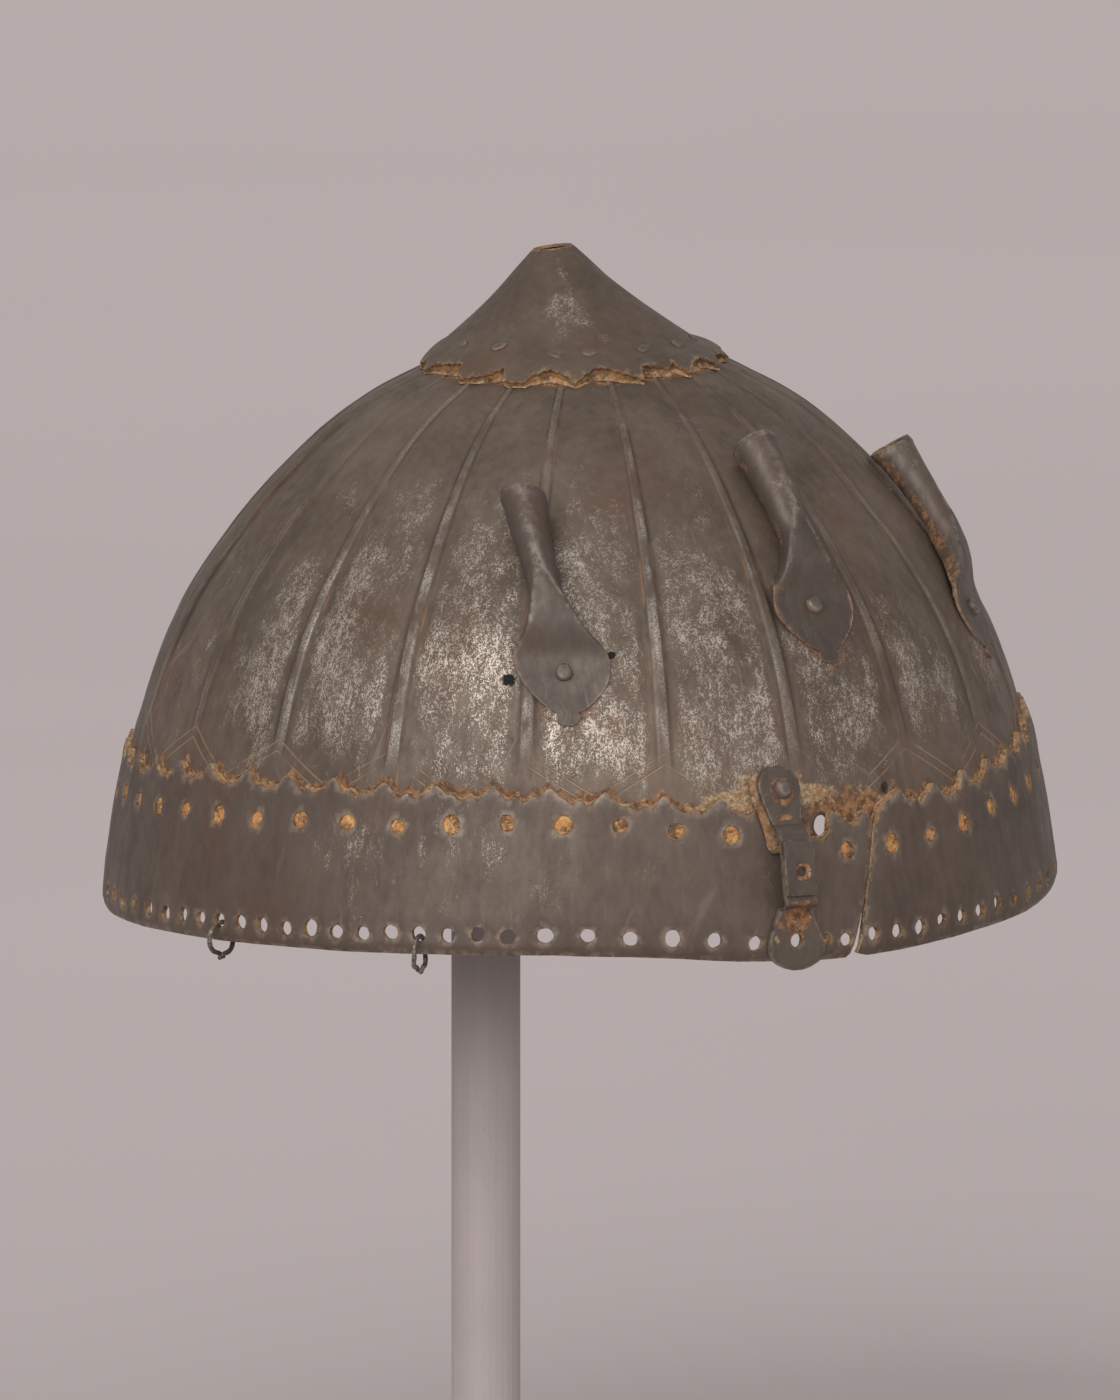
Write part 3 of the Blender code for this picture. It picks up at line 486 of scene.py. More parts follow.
    def spot(self, place, size):
        """A round black spot with a ragged rim."""
        away = self.add('ShaderNodeVectorMath', {0: self.coords(), 1: place}, operation='DISTANCE')
        ragged_by = self.times(self.minus(self.noise(900, 3, 0.6), 0.5), 0.0022)
        far = self.plus(away.outputs["Value"], ragged_by)
        black = self.span(far, size * 1.12, size * 0.82)
        self.lay(black, 1.0, (0.006, 0.005, 0.005))
        self.surface(black, 0.0, 0.8)


def iron(name, dark, light, layers, scratch=0.5, gloss=0.0, spots=(), **amounts):
    """Iron with its layers; a layer's amount is a number or the attribute of its name."""
    m = Iron(name, dark, light, scratch, gloss)
    for layer, lay in (("speck", m.speck), ("crest", m.crest), ("line", m.line), ("rust", m.rust),
                       ("pale", m.pale), ("glint", m.glint), ("edge", m.edge)):
        if layer in layers:
            lay(amounts.get(layer) or m.attr(layer))
    for place, size in spots:
        m.spot(place, size)
    big = m.bump(m.plus(m.cloud, m.times(m.broad, 0.6)), 0.0009, 0.35)
    return m.finish(m.colour, m.rough, m.metal, m.bump(m.height, 0.00016, 0.75, big))


def tinted(colour, tint):
    return tuple(c * k for c, k in zip(colour, tint))


def rust_material(name, bright, tint=(1.0, 1.0, 1.0)):
    """Thick rust crust: ochre, orange, brown and pale grains."""
    m = Nodes(name)
    tint = [bright * k for k in tint]
    one = m.noise(230, 5, 0.7)
    two = m.noise(1100, 4, 0.75)
    three = m.noise(330, 4, 0.7, turn_by=(0.5, 0.2, 0.8))
    colour = m.mix(m.span(one, 0.36, 0.60), (0.150, 0.080, 0.042), tinted((0.40, 0.225, 0.110), tint))
    colour = m.mix(m.times(m.span(two, 0.48, 0.66), 0.8), colour, tinted((0.55, 0.385, 0.225), tint))
    colour = m.mix(m.times(m.span(three, 0.54, 0.66), 0.6), colour, tinted((0.58, 0.46, 0.30), tint))
    colour = m.mix(m.times(m.span(three, 0.44, 0.34), 0.7), colour, (0.070, 0.046, 0.032))
    height = m.plus(m.times(one, 0.5), m.times(two, 0.6))
    return m.finish(colour, m.span(two, 0.3, 0.7, 0.95, 0.80), 0.0, m.bump(height, 0.0004, 1.0))


# Bowl
def flute_share(z):
    """How strongly the ribs and hollows stand out at a height."""
    high = (z - 70.0) / (BOWL_TOP - 70.0)
    return ease((z - 38.0) / 32.0) * (1.0 - 0.6 * clip(high))


# Angle of a socket's tip, angle of its mouth and height of its tip
SOCKETS = {"left": (-28.5, -37.0, 52.9), "front": (10.4, 10.3, 64.8), "right": (50.0, 60.0, 59.0)}
SOCKET_LEN = 56.0


def meridian(start, distance):
    """Height reached by going a distance up the bowl from a height."""
    s0 = float(np.interp(start, LINE_Z, LINE_S))
    return float(np.interp(s0 + distance, LINE_S, LINE_Z))


def socket_line(name, share):
    """Angle and height of the bowl under a socket's middle line."""
    tip, mouth, low = SOCKETS[name]
    angle = tip + (mouth - tip) * ease(max(share, 0.0) * 0.6) / ease(0.6)
    return angle, meridian(low, share * SOCKET_LEN)


# Black spots beside the left socket: place and radius
SPOTS = tuple((tuple(polar(angle, bowl_radius(z) + 1.2, z)), size * MM)
              for angle, z, size in ((-36.8, 63.6, 1.9), (-22.4, 69.2, 1.15)))
# Rust holes above the brow: angle, height, width and tallness
RUST_HOLES = ((4.9, 28.0, 4.2, 5.5), (15.3, 35.5, 2.2, 2.7))
# Middle height and tallness of the engraved zigzag
ZIGZAG_Z, ZIGZAG_TALL = 45.2, 9.6
# Foot of the finial on the bowl
FOOT_R, FOOT_SHIFT = 36.5, Vector((-2.46, -1.54, 0.0))
# Silvery wear, rust and pale crust on the bowl: amount, angle, height and spread
WEAR_MARKS = ((0.50, -50, 62, 20, 24), (0.55, -14, 60, 14, 24), (0.40, -74, 58, 14, 24),
              (0.55, -29, 46, 14, 9), (0.32, -42, 66, 7, 12), (0.13, -35, 84, 45, 26),
              (0.42, 3, 54, 11, 18), (0.45, 17, 58, 9, 12), (0.50, 28, 58, 9, 14), (0.42, 46, 60, 10, 16),
              (0.26, -44, 92, 34, 18), (0.22, 2, 86, 26, 18), (0.26, -100, 64, 20, 28))
RUST_MARKS = ((0.75, 6, 32, 7.5, 6.5), (0.45, 14, 33, 5, 4), (0.25, 8, 44, 7, 5), (0.24, 33, 46, 13, 9),
              (0.35, -38, 49, 4, 7), (0.3, -22, 50, 5, 6), (0.5, 56.0, 92, 4, 12))
PALE_MARKS = ((0.95, -7.5, 34.5, 4.2, 3.0), (0.85, -5.2, 39, 1.6, 5), (0.75, 3, 35, 4.2, 3.4),
              (0.55, 13, 34, 3.4, 2.6), (0.45, 1.6, 40, 1.6, 4.5), (0.40, 8, 36.5, 5.5, 2.2))


def bowl_wear(angle, z):
    """Amount of silvery wear on the bowl at a place."""
    lit = marks(angle, z, WEAR_MARKS)
    for centre, wide in (((96, 66), 22), ((140, 58), 20), ((178, 70), 24), ((222, 60), 20)):
        lit += 0.45 * blob((angle + 360.0) % 360.0, z, centre, (wide, 24))
    return clip(lit * (0.75 + 0.5 * fractal(angle * 0.05, z * 0.012, 3.0)))


def rust_hole_tool():
    """Two closed plugs that cut the rust holes above the brow."""
    bm = bmesh.new()
    for angle, z, wide, tall in RUST_HOLES:
        out = polar(angle, 1, 0) - AXIS
        basis = Matrix((turn(angle, 1, 0, 0), Vector((0, 0, 1)), out.normalized())).transposed().to_4x4()
        place = Matrix.Translation(polar(angle, bowl_radius(z), z)) @ basis
        ring = [place @ Vector((0.5 * wide * MM * math.cos(a) * (1 + 0.10 * math.sin(2 * a + 1)),
                                0.5 * tall * MM * math.sin(a) * (1 + 0.08 * math.sin(3 * a)), d))
                for d in (-0.004, 0.004) for a in np.linspace(0, 2 * math.pi, 20, endpoint=False)]
        vs = [bm.verts.new(v) for v in ring]
        for i in range(20):
            k = (i + 1) % 20
            bm.faces.new((vs[i], vs[k], vs[k + 20], vs[i + 20]))
        bm.faces.new(vs[:20][::-1])
        bm.faces.new(vs[20:])
    bmesh.ops.recalc_face_normals(bm, faces=bm.faces[:])
    mesh = bpy.data.meshes.new("hole_tool")
    bm.to_mesh(mesh)
    bm.free()
    return add_object("hole_tool", mesh)


def build_bowl():
    """The fluted bowl with the amounts of wear, rust, crust and engraving on it."""
    cols, rows = 18, 112
    s_line = np.linspace(0.0, LINE_S[-1], rows)
    z_row = np.interp(s_line, LINE_S, LINE_Z)
    upper = [(a, band_line(a, 3)) for a in UPPER_ANGLES]
    crest_a = np.arange(*BAND_ENDS, 0.5)
    crest_z = np.array([top_line(a) for a in crest_a])
    verts, speck, rust, crest, line, pale, ribs = [], [], [], [], [], [], []
    shares = (0.05, 0.2, 0.35, 0.5, 0.7, 0.9)
    leaf = [(share, *socket_line(name, share)) for name in SOCKETS for share in shares]
    angles = []
    for g in range(RIBS):
        for k in range(cols):
            t = k / cols
            t = t - 0.118 * math.sin(2 * math.pi * t)
            angles.append((RIB_PHASE + (g + t) * GORE, t, g))
    n = len(angles)
    for z in z_row:
        radius = bowl_radius(z)
        nr, nz = bowl_normal(z)
        share = flute_share(z)
        for angle, t, g in angles:
            off = min(t, 1 - t) * GORE
            d = math.radians(off) * radius
            half = 1.45 * (0.15 + 0.85 * radius / BOWL_R)
            world = at_front(angle)
            under = max(blob(angle, z, (la, lz), (5.5, 7.0)) for _, la, lz in leaf)
            rise = 0.80 * ease((half * 1.25 - d) / (half * 0.5)) * share * (1 - 0.7 * under)
            rise -= 0.20 * fade(d - half - 0.8, 0.7) * share
            swell = 0.75 - 0.55 * blob(world, z, (-105, 95), (45, 40))
            rise += swell * (math.sin(math.pi * t) ** 2) * share
            rise += 0.30 * fractal(world * 0.09, z * 0.05, g % 3 + 7.0)
            rise += 0.10 * fractal(world * 0.5, z * 0.25, 2.0)
            rise -= 0.6 * blob(world, z, (-62, 88), (5, 6)) + 0.5 * blob(world, z, (36, 96), (5, 5))
            rise = min(rise, 1.0)
            if z < 45:
                rise *= 0.15 + 0.85 * ease((z - 36) / 9)
            verts.append(polar(angle, radius + nr * rise, z + nz * rise))
            wear = bowl_wear(world, z)
            speck.append(min(1.0, wear * (0.25 + 0.75 * ease((d - half - 0.8) / 3.2))))
            # ribs: rubbed wear and painted highlight on the crests, strongest at the front-left facing the
            # key light and fading up the bowl
            front = 0.76 * math.exp(-((world + 42) / 37.0) ** 4) + 0.32
            high = ease((z - 40) / 12) * (1 - 0.62 * ease((z - 84) / 28))
            ribs.append(min(1.0, front * high * (0.72 + 0.34 * math.sin(g * 2.4))))
            top = float(np.interp(world, crest_a, crest_z))
            above = z - top
            r = 0.95 * fade(max(above, 0.0), 2.2) if above > -6 else 0.3
            r += marks(world, z, RUST_MARKS)
            for part, la, lz in leaf:
                if part < 0.4:
                    r += 0.34 * blob(world, z, (la, lz - 2.0), (7.2, 8.0))
                else:
                    r += 0.12 * blob(world, z, (la, lz), (4.5, 6.0))
            cap = FOOT_R - math.hypot(*(verts[-1] - AXIS - FOOT_SHIFT * MM).xy) / MM
            r += 0.85 * ease((cap + 0.8) / 2.8)
            for ha, hz in upper:
                if abs(ha - world) < 3 and abs(hz - z) < 5:
                    r += 0.9 * blob(world, z, (ha, hz), (1.3, 2.6))
            rust.append(clip(r))
            crest.append(d / half)
            zig = ZIGZAG_Z - ZIGZAG_TALL * min(t, 1 - t) * 2
            line.append((z - zig) * 0.86 if 30 < z < 52 and top < 44 else 9.0)
            p = 0.85 * fade(above - 0.4, 1.5) * (0.5 + 0.7 * fractal(world * 0.16, 0.3, 5.0))
            pale.append(clip(p + marks(world, z, PALE_MARKS)))
    mat = iron("patina_bowl", (0.102, 0.072, 0.052), (0.200, 0.147, 0.110),
               ("speck", "crest", "line", "rust", "pale"), spots=SPOTS)
    values = {"speck": speck, "rust": rust, "crest": crest, "line": line, "pale": pale, "ribs": ribs}
    bowl = new_piece("bowl_skin", verts, grid_faces(rows, n), mat, values, replaces=("bowl",))
    wall = bowl.modifiers.new("wall", 'SOLIDIFY')
    wall.thickness = BOWL_WALL * MM
    wall.offset = -1.0
    tool = rust_hole_tool()
    cut = bowl.modifiers.new("holes", 'BOOLEAN')
    cut.operation = 'DIFFERENCE'
    cut.solver = 'EXACT'
    cut.object = tool
    bake(bowl)
    bpy.data.objects.remove(tool, do_unlink=True)


def bake(obj):
    """Turns an object's modifiers into plain mesh."""
    bpy.context.view_layer.update()
    graph = bpy.context.evaluated_depsgraph_get()
    mesh = bpy.data.meshes.new_from_object(obj.evaluated_get(graph), preserve_all_data_layers=True,
                                           depsgraph=graph)
    obj.modifiers.clear()
    obj.data = mesh


# Browband
def runs(table):
    """Angles of rows, each given as first angle, step and count."""
    return [first + step * k for first, step, count in table for k in range(count)]


CRESTS = sorted(runs(((-117.2, 7.2, 18), (16.9, 6.5, 7), (63.1, 7.2, 25))))
UPPER_ANGLES = runs(((-113.0, 7.0, 16), (7.7, 6.85, 7), (57.0, 7.1, 26)))
LOWER_ANGLES = runs(((-108.8, 4.4, 6), (-82.9, 3.64, 14), (-31.1, 5.1, 6), (-0.6, 4.3, 2), (6.7, 3.8, 7),
                     (33.6, 4.4, 5), (57.5, 6.25, 31)))
# Share of the way from crest to crest, and share of the scallop's depth
SCALLOP = ((0.00, 0.00), (0.04, 0.03), (0.08, 0.18), (0.12, 0.44), (0.17, 0.67), (0.25, 0.86),
           (0.36, 0.96), (0.50, 1.0))
# Angle and height of the broken edge
BREAK = ((0.6, 33.0), (1.3, 29.0), (1.86, 25.6), (3.35, 25.3), (4.54, 25.3), (5.1, 26.2), (5.35, 28.9),
         (5.6, 30.9), (6.4, 31.0), (7.7, 29.2), (8.85, 27.6), (9.5, 27.9), (10.0, 29.6), (11.1, 30.7),
         (11.6, 30.0), (12.0, 28.2), (12.4, 28.1), (12.8, 29.4), (13.3, 31.3), (14.7, 32.8), (15.8, 33.8))
# Height and angle of the seam, and height and width of its gap
SEAM = ((-4.0, 7.7), (0.0, 8.15), (8.4, 9.4), (27.8, 12.0), (34.0, 12.8))
SEAM_WIDE = ((-4.0, 1.9), (1.5, 1.3), (6.0, 0.75), (10.0, 0.42), (14.0, 0.30), (34.0, 0.24))
# Width of the band's flat pattern for a degree
PER_DEG = 112.0 * math.pi / 180.0


def top_line(angle):
    """Height of the band's scalloped edge."""
    if BREAK[0][0] < angle < BREAK[-1][0]:
        return lookup(angle, BREAK)
    k = int(np.searchsorted(CRESTS, angle))
    lo = CRESTS[k - 1] if k > 0 else CRESTS[-1] - 360.0
    hi = CRESTS[k] if k < len(CRESTS) else CRESTS[0] + 360.0
    part = (angle - lo) / (hi - lo)
    part = min(part, 1 - part)
    uneven = 1.0 + 0.22 * math.sin(lo * 1.7) + 0.12 * math.sin(angle * 3.1)
    drop = lookup(part, SCALLOP) * SCALLOP_DEPTH * uneven
    return band_line(angle, 2) - drop + 0.25 * math.sin(angle * 2.3 + 1.0)


def low_line(angle):
    """Height of the band's lower edge."""
    z = band_line(angle, 1) + 0.22 * fractal(angle * 0.10, 0.0, 9.0)
    if 6.6 < angle < 8.2:
        z += 1.5 * ease((angle - 6.9) / 1.0)
    elif 8.2 <= angle < 9.6:
        z += 0.9 * (1 - ease((angle - 8.2) / 1.4))
    return z


def seam_angle(z):
    return lookup(z, SEAM)


def band_outer(angle, z, rounding=0.0):
    """Radius of the band's outer face, with its curled rim, dents and the lapped seam."""
    low = low_line(angle)
    r = band_radius(max(z, 0.0))
    r -= 0.75 * ease(1.0 - (z - low) / 2.6) ** 2
    r += 0.28 * fractal(angle * 0.05, z * 0.03, 11.0) + 0.06 * fractal(angle * 0.4, z * 0.2, 4.0)
    r = min(r, BAND_R - 0.04)
    right = angle - seam_angle(z)
    if 0 < right < 9:
        r += 0.42 * (1 - ease(right / 9.0))
    if -7 < right < 0:
        r -= 0.12 * (1 - ease(-right / 7.0))
    top = top_line(angle)
    if z > top - 2.2:
        r -= 0.10 * ease((z - top + 2.2) / 2.2)
    return r - rounding


def ragged(size, angle, seed):
    """Radius of an uneven hole, for a number or an array of angles."""
    return size * (1 + 0.05 * np.sin(2 * angle + seed) + 0.03 * np.sin(5 * angle + 2 * seed))


def band_holes():
    """Holes as place on the pattern, radius, height share, seed and 1 for the upper row."""
    lo, hi = BAND_ENDS
    holes = []
    for i, a in enumerate(UPPER_ANGLES):
        if hi - 1.5 < a or a < lo + 1.5:
            continue
        size = 2.0 * (1 + 0.12 * math.sin(i * 2.7))
        v = band_line(a, 3) + 0.4 * math.sin(i * 1.9)
        holes.append((a * PER_DEG, v, size, 1 + 0.10 * math.sin(i * 1.3), i, 1))
    for i, a in enumerate(LOWER_ANGLES):
        if hi - 1.2 < a or a < lo + 1.2 or abs(a + 0.6) < 0.1:
            continue
        tall = 4.7 + 0.35 * math.sin(i * 2.2)
        size = (1.80 if a < 9 else 1.68) * (1 + 0.09 * math.sin(i * 1.7))
        if 3.0 < a < 4.2:
            size, tall = 1.3, 4.9
        if min(abs(a - ring) for ring in RING_ANGLES) < 0.1:
            size, tall = 1.72, band_line(a, 1) + RING_HOLE - low_line(a)
        holes.append((a * PER_DEG, low_line(a) + tall, size, 1 + 0.07 * math.sin(i * 3.3), i, 0))
    holes.append((-0.6 * PER_DEG, 2.16, 2.1, 1.0, 3, 0))
    return holes


def band_values(a, v, top, low, hole, rim):
    """Rust, wear, painted highlights on the rims and crust on the band; rim is the distance to the hole's
    edge.
    """
    seed, kind = hole[4:]
    down = top - v
    tab = clip((top - (band_line(a, 2) - 3.4)) / 3.4)
    # glint: painted highlight along the scalloped top edge, strongest on the tabs, and round the rims of
    # holes
    glint = fade(down, 1.3) * (0.35 + 0.65 * tab)
    ringed = 0.5 + 0.5 * math.sin(seed * 1.37 + 0.4)
    glint = max(glint, 0.62 * fade(max(rim, 0), 0.75) * ringed * (1.0 if kind else 0.35))
    rust = 0.62 * fade(down, 0.8) * (1.0 - 0.5 * tab)
    rust += (0.62 if kind else 0.45) * fade(max(rim, 0), 0.42) + 0.35 * fade(v - low, 0.6)
    rust += 0.30 * blob(a, v, (seam_angle(v), v), (1.0, 14))
    rust += marks(a, v, ((0.45, -3.5, 16, 2.6, 12), (0.30, 17, 28, 4, 4), (0.30, 4.5, 22, 3, 4)))
    speck = 0.05 + 0.10 * max(0.0, fractal(a * 0.06, v * 0.05, 6.0))
    speck += marks(a, v, ((0.13, -56, 20, 9, 14), (0.16, -38, 24, 8, 12), (0.08, -12, 22, 9, 6)))
    pale = 0.55 * fade(down - 0.1, 0.9) * max(0.0, 0.3 + fractal(a * 0.22, 0.5, 2.0))
    pale += marks(a, v, ((0.6, -5.0, 33, 1.2, 3), (0.35, 12.0, 22, 0.8, 7)))
    found = {"rust": rust, "speck": speck, "glint": glint, "pale": pale}
    return {key: min(value, 1.0) for key, value in found.items()}


def build_band():
    """The browband, cut from a flat pattern; gives back its holes."""
    lo, hi = BAND_ENDS
    left, right = lo * PER_DEG, hi * PER_DEG
    pattern = Pattern()
    grid_a = set(np.round(np.arange(lo, hi + 1e-6, 0.45), 4))
    extra = set(b[0] for b in BREAK)
    extra.update(c for c in CRESTS if lo < c < hi)
    top_a = sorted(a for a in (grid_a | extra) if lo <= a <= hi)
    low_a = np.linspace(lo, hi, 481).round(4)
    top_z = [top_line(a) for a in top_a]
    low_z = [low_line(a) for a in low_a]
    top_z[-1] = top_z[0]
    low_z[-1] = low_z[0]
    for angles, heights in ((top_a, top_z), (low_a, low_z)):
        pattern.chain([(a * PER_DEG, z) for a, z in zip(angles, heights)])

    def top_at(u):
        return np.interp(u / PER_DEG, top_a, top_z)

    def low_at(u):
        return np.interp(u / PER_DEG, low_a, low_z)

    holes = band_holes()
    for u, v, size, tall, seed, kind in holes:
        count = 18 if kind else 16
        ring = [(2 * math.pi * k / count, ragged(size, 2 * math.pi * k / count, seed)) for k in range(count)]
        pattern.chain([(u + r * math.cos(a), v + r * tall * math.sin(a)) for a, r in ring], close=True)
    slit = [(z, seam_angle(z) * PER_DEG, lookup(z, SEAM_WIDE) / 2) for z in np.arange(-5.0, 35.0, 0.8)]
    pattern.chain([(u - w, z) for z, u, w in slit])
    pattern.chain([(u + w, z) for z, u, w in slit])
    hole_uv = np.array([(h[0], h[1]) for h in holes])
    step, cell = 1.65, 0.8
    near = {}
    for x, y in pattern.points:
        near.setdefault((int(x // cell), int(y // cell)), []).append((x, y))
    for j, v in enumerate(np.arange(-6.0, 50.0, step * 0.87)):
        for u in np.arange(left, right, step) + (step / 2 if j % 2 else 0.0):
            if not (left + 0.5 < u < right - 0.5 and low_at(u) + 0.5 < v < top_at(u) - 0.5):
                continue
            cx, cy = int(u // cell), int(v // cell)
            if not any((px - u) ** 2 + (py - v) ** 2 < 0.56 for dx in (-1, 0, 1) for dy in (-1, 0, 1)
                       for px, py in near.get((cx + dx, cy + dy), ())):
                pattern.put(u, v)
    for v in np.arange(low_z[0] + 1.4, top_z[0] - 1.0, 1.4):
        pattern.put(left, v)
        pattern.put(right, v)

    def inside(mid):
        ok = (mid[:, 1] > low_at(mid[:, 0])) & (mid[:, 1] < top_at(mid[:, 0]))
        for u, v, size, tall, seed, _ in holes:
            box = (np.abs(mid[:, 0] - u) < size * 1.3) & (np.abs(mid[:, 1] - v) < size * 1.4)
            x, y = mid[:, 0] - u, (mid[:, 1] - v) / tall
            ok &= ~(box & (np.hypot(x, y) < ragged(size, np.arctan2(y, x), seed) * 0.985))
        z, middle, wide = zip(*slit)
        off = np.abs(mid[:, 0] - np.interp(mid[:, 1], z, middle))
        return ok & ~(off < np.interp(mid[:, 1], z, wide) * 0.98)

    def values(u, v):
        d = np.hypot(hole_uv[:, 0] - u, hole_uv[:, 1] - v)
        k = int(d.argmin())
        return band_values(u / PER_DEG, v, float(top_at(u)), float(low_at(u)), holes[k], d[k] - holes[k][2])

    def outer(u, v, rounding=0.0):
        return polar(u / PER_DEG, band_outer(u / PER_DEG, v, rounding), v)

    def inner(u, v):
        return polar(u / PER_DEG, band_outer(u / PER_DEG, v) - BAND_WALL, v)

    verts, faces, vals = sheet_from_pattern(pattern, inside, (left, right), outer, inner, values)
    mat = iron("patina_band", (0.095, 0.067, 0.051), (0.159, 0.117, 0.091),
               ("speck", "rust", "pale", "glint", "edge"), scratch=0.28)
    new_piece("browband_skin", verts, faces, mat, vals, slot="band_iron", replaces=("browband",),
              wall=rust_material("rust_walls_band", 0.95), sharp=50)
    return holes


# Finial
# Share of the height and share of the way from tip to edge
CAP_LINE = ((0.000, 1.000), (0.176, 0.790), (0.352, 0.593), (0.527, 0.412), (0.703, 0.247), (0.846, 0.129),
            (1.0, 0.0))
CAP_CURVE = smooth_line(CAP_LINE, 16)
# The finial lies askew: direction and distance of its edge and of its tip
EDGE_SHIFT = (-58.0, 2.9)
TIP_SHIFT = (-116.8, 6.8)
# Torn edge at the front: angle and depth of the edge above the tips' line
TORN = ((-101, 0.5), (-96, 2.4), (-86, 3.6), (-77.2, 4.4), (-76.2, 0.6), (-73.8, 0.0), (-68, 0.9),
        (-62, 1.8), (-55.6, 4.2), (-54.2, 0.9), (-52.4, 0.1), (-45.6, 0.3), (-44.0, 2.2), (-41.6, 2.7),
        (-36.2, 4.3), (-31.5, 3.0), (-29.0, 1.8), (-26.7, 0.0), (-23.3, 2.0), (-21.0, 3.2), (-17.8, 4.7),
        (-12.8, 4.4), (-9.5, 3.0), (-5.3, 1.8), (0.0, 0.1), (0.6, 2.3), (1.9, 4.6), (8.0, 3.6), (13.0, 2.6),
        (17.0, 4.6), (21.6, 0.4), (22.6, 0.6), (28.0, 3.3), (35.0, 4.3), (42.6, 0.2), (44.0, 0.5),
        (48.0, 3.6), (56.0, 2.4), (62.0, 0.4), (64.5, 3.4), (72.0, 4.2), (80.0, 0.6))
# Width of a tooth round the back
TOOTH = 17.9
# Angle and share of the height
CAP_RIVETS = ((-88.0, 0.20), (-62.5, 0.215), (-33.8, 0.175), (-18.0, 0.19), (9.5, 0.20), (33.0, 0.20),
              (59.0, 0.20), (92, 0.21), (121, 0.20), (150, 0.20), (181, 0.205), (212, 0.20))
# Length of the cone's side on the flat pattern, and the pattern's width for a degree
SLANT = 47.0
CAP_PER_DEG = 30.0 * math.pi / 180


def torn_depth(angle):
    """Depth of the finial's torn edge, with even teeth round the back."""
    if angle < TORN[0][0]:
        angle += 360.0
    if angle <= TORN[-1][0]:
        return lookup(angle, TORN)
    tooth = (angle - TORN[-1][0]) / TOOTH
    whole = math.floor(tooth)
    part = clip(tooth - whole + 0.18 * math.sin(whole * 2.7))
    deep = 3.4 + 1.1 * math.sin(whole * 1.9)
    if part < 0.62:
        return deep * part / 0.62
    return deep * (max(0.0, (0.74 - part) / 0.12) if part < 0.74 else (part - 0.74) * 0.5)


def cap_shift(share):
    places = [(size * math.sin(math.radians(a)), -size * math.cos(math.radians(a)))
              for a, size in (EDGE_SHIFT, TIP_SHIFT)]
    return tuple(e + (t - e) * share for e, t in zip(*places))


def cap_edge(radius):
    """Height of the finial's edge over the bowl."""
    return dome_height(radius) + 1.1 * CAP_WALL + GAP + 0.35


def cap_point(angle, share, inset=0.0):
    """Point of the finial in the row frame; inset goes in from the outer face."""
    low = cap_edge(EDGE_R)
    part = float(np.interp(share, CAP_CURVE[:, 0], CAP_CURVE[:, 1]))
    r = TIP_R + part * (EDGE_R - TIP_R)
    r += 0.22 * fractal(angle * 0.03, share * 3.0, 21.0) * (1 - share * 0.7)
    dx, dy = cap_shift(share)
    a = math.radians(angle)
    x = (r - inset * 0.62) * math.sin(a) + dx
    y = -(r - inset * 0.62) * math.cos(a) + dy
    z = low + share * (TIP_Z - low) - inset * 0.78
    lay = max(0.0, 1.0 - share / 0.176)
    z += lay * (cap_edge(min(math.hypot(x, y), 100.0)) - low)
    lean = math.cos(math.radians(angle - TIP_SHIFT[0]))
    z -= 0.6 * ease((share - 0.7) / 0.3) * lean
    z += 0.25 * fractal(angle * 0.08, share * 2.0, 14.0) * lay
    return AXIS + Vector((x, y, z)) * MM


# Wear on the finial: amount, angle, height on the pattern and spread
CAP_WEAR = ((0.34, -33, 24, 11, 6), (0.24, -16, 30, 8, 8), (0.25, -33, 11, 9, 3), (0.20, -14, 18, 8, 6),
            (0.25, -20, 40, 12, 5), (0.35, 150, 22, 30, 10))


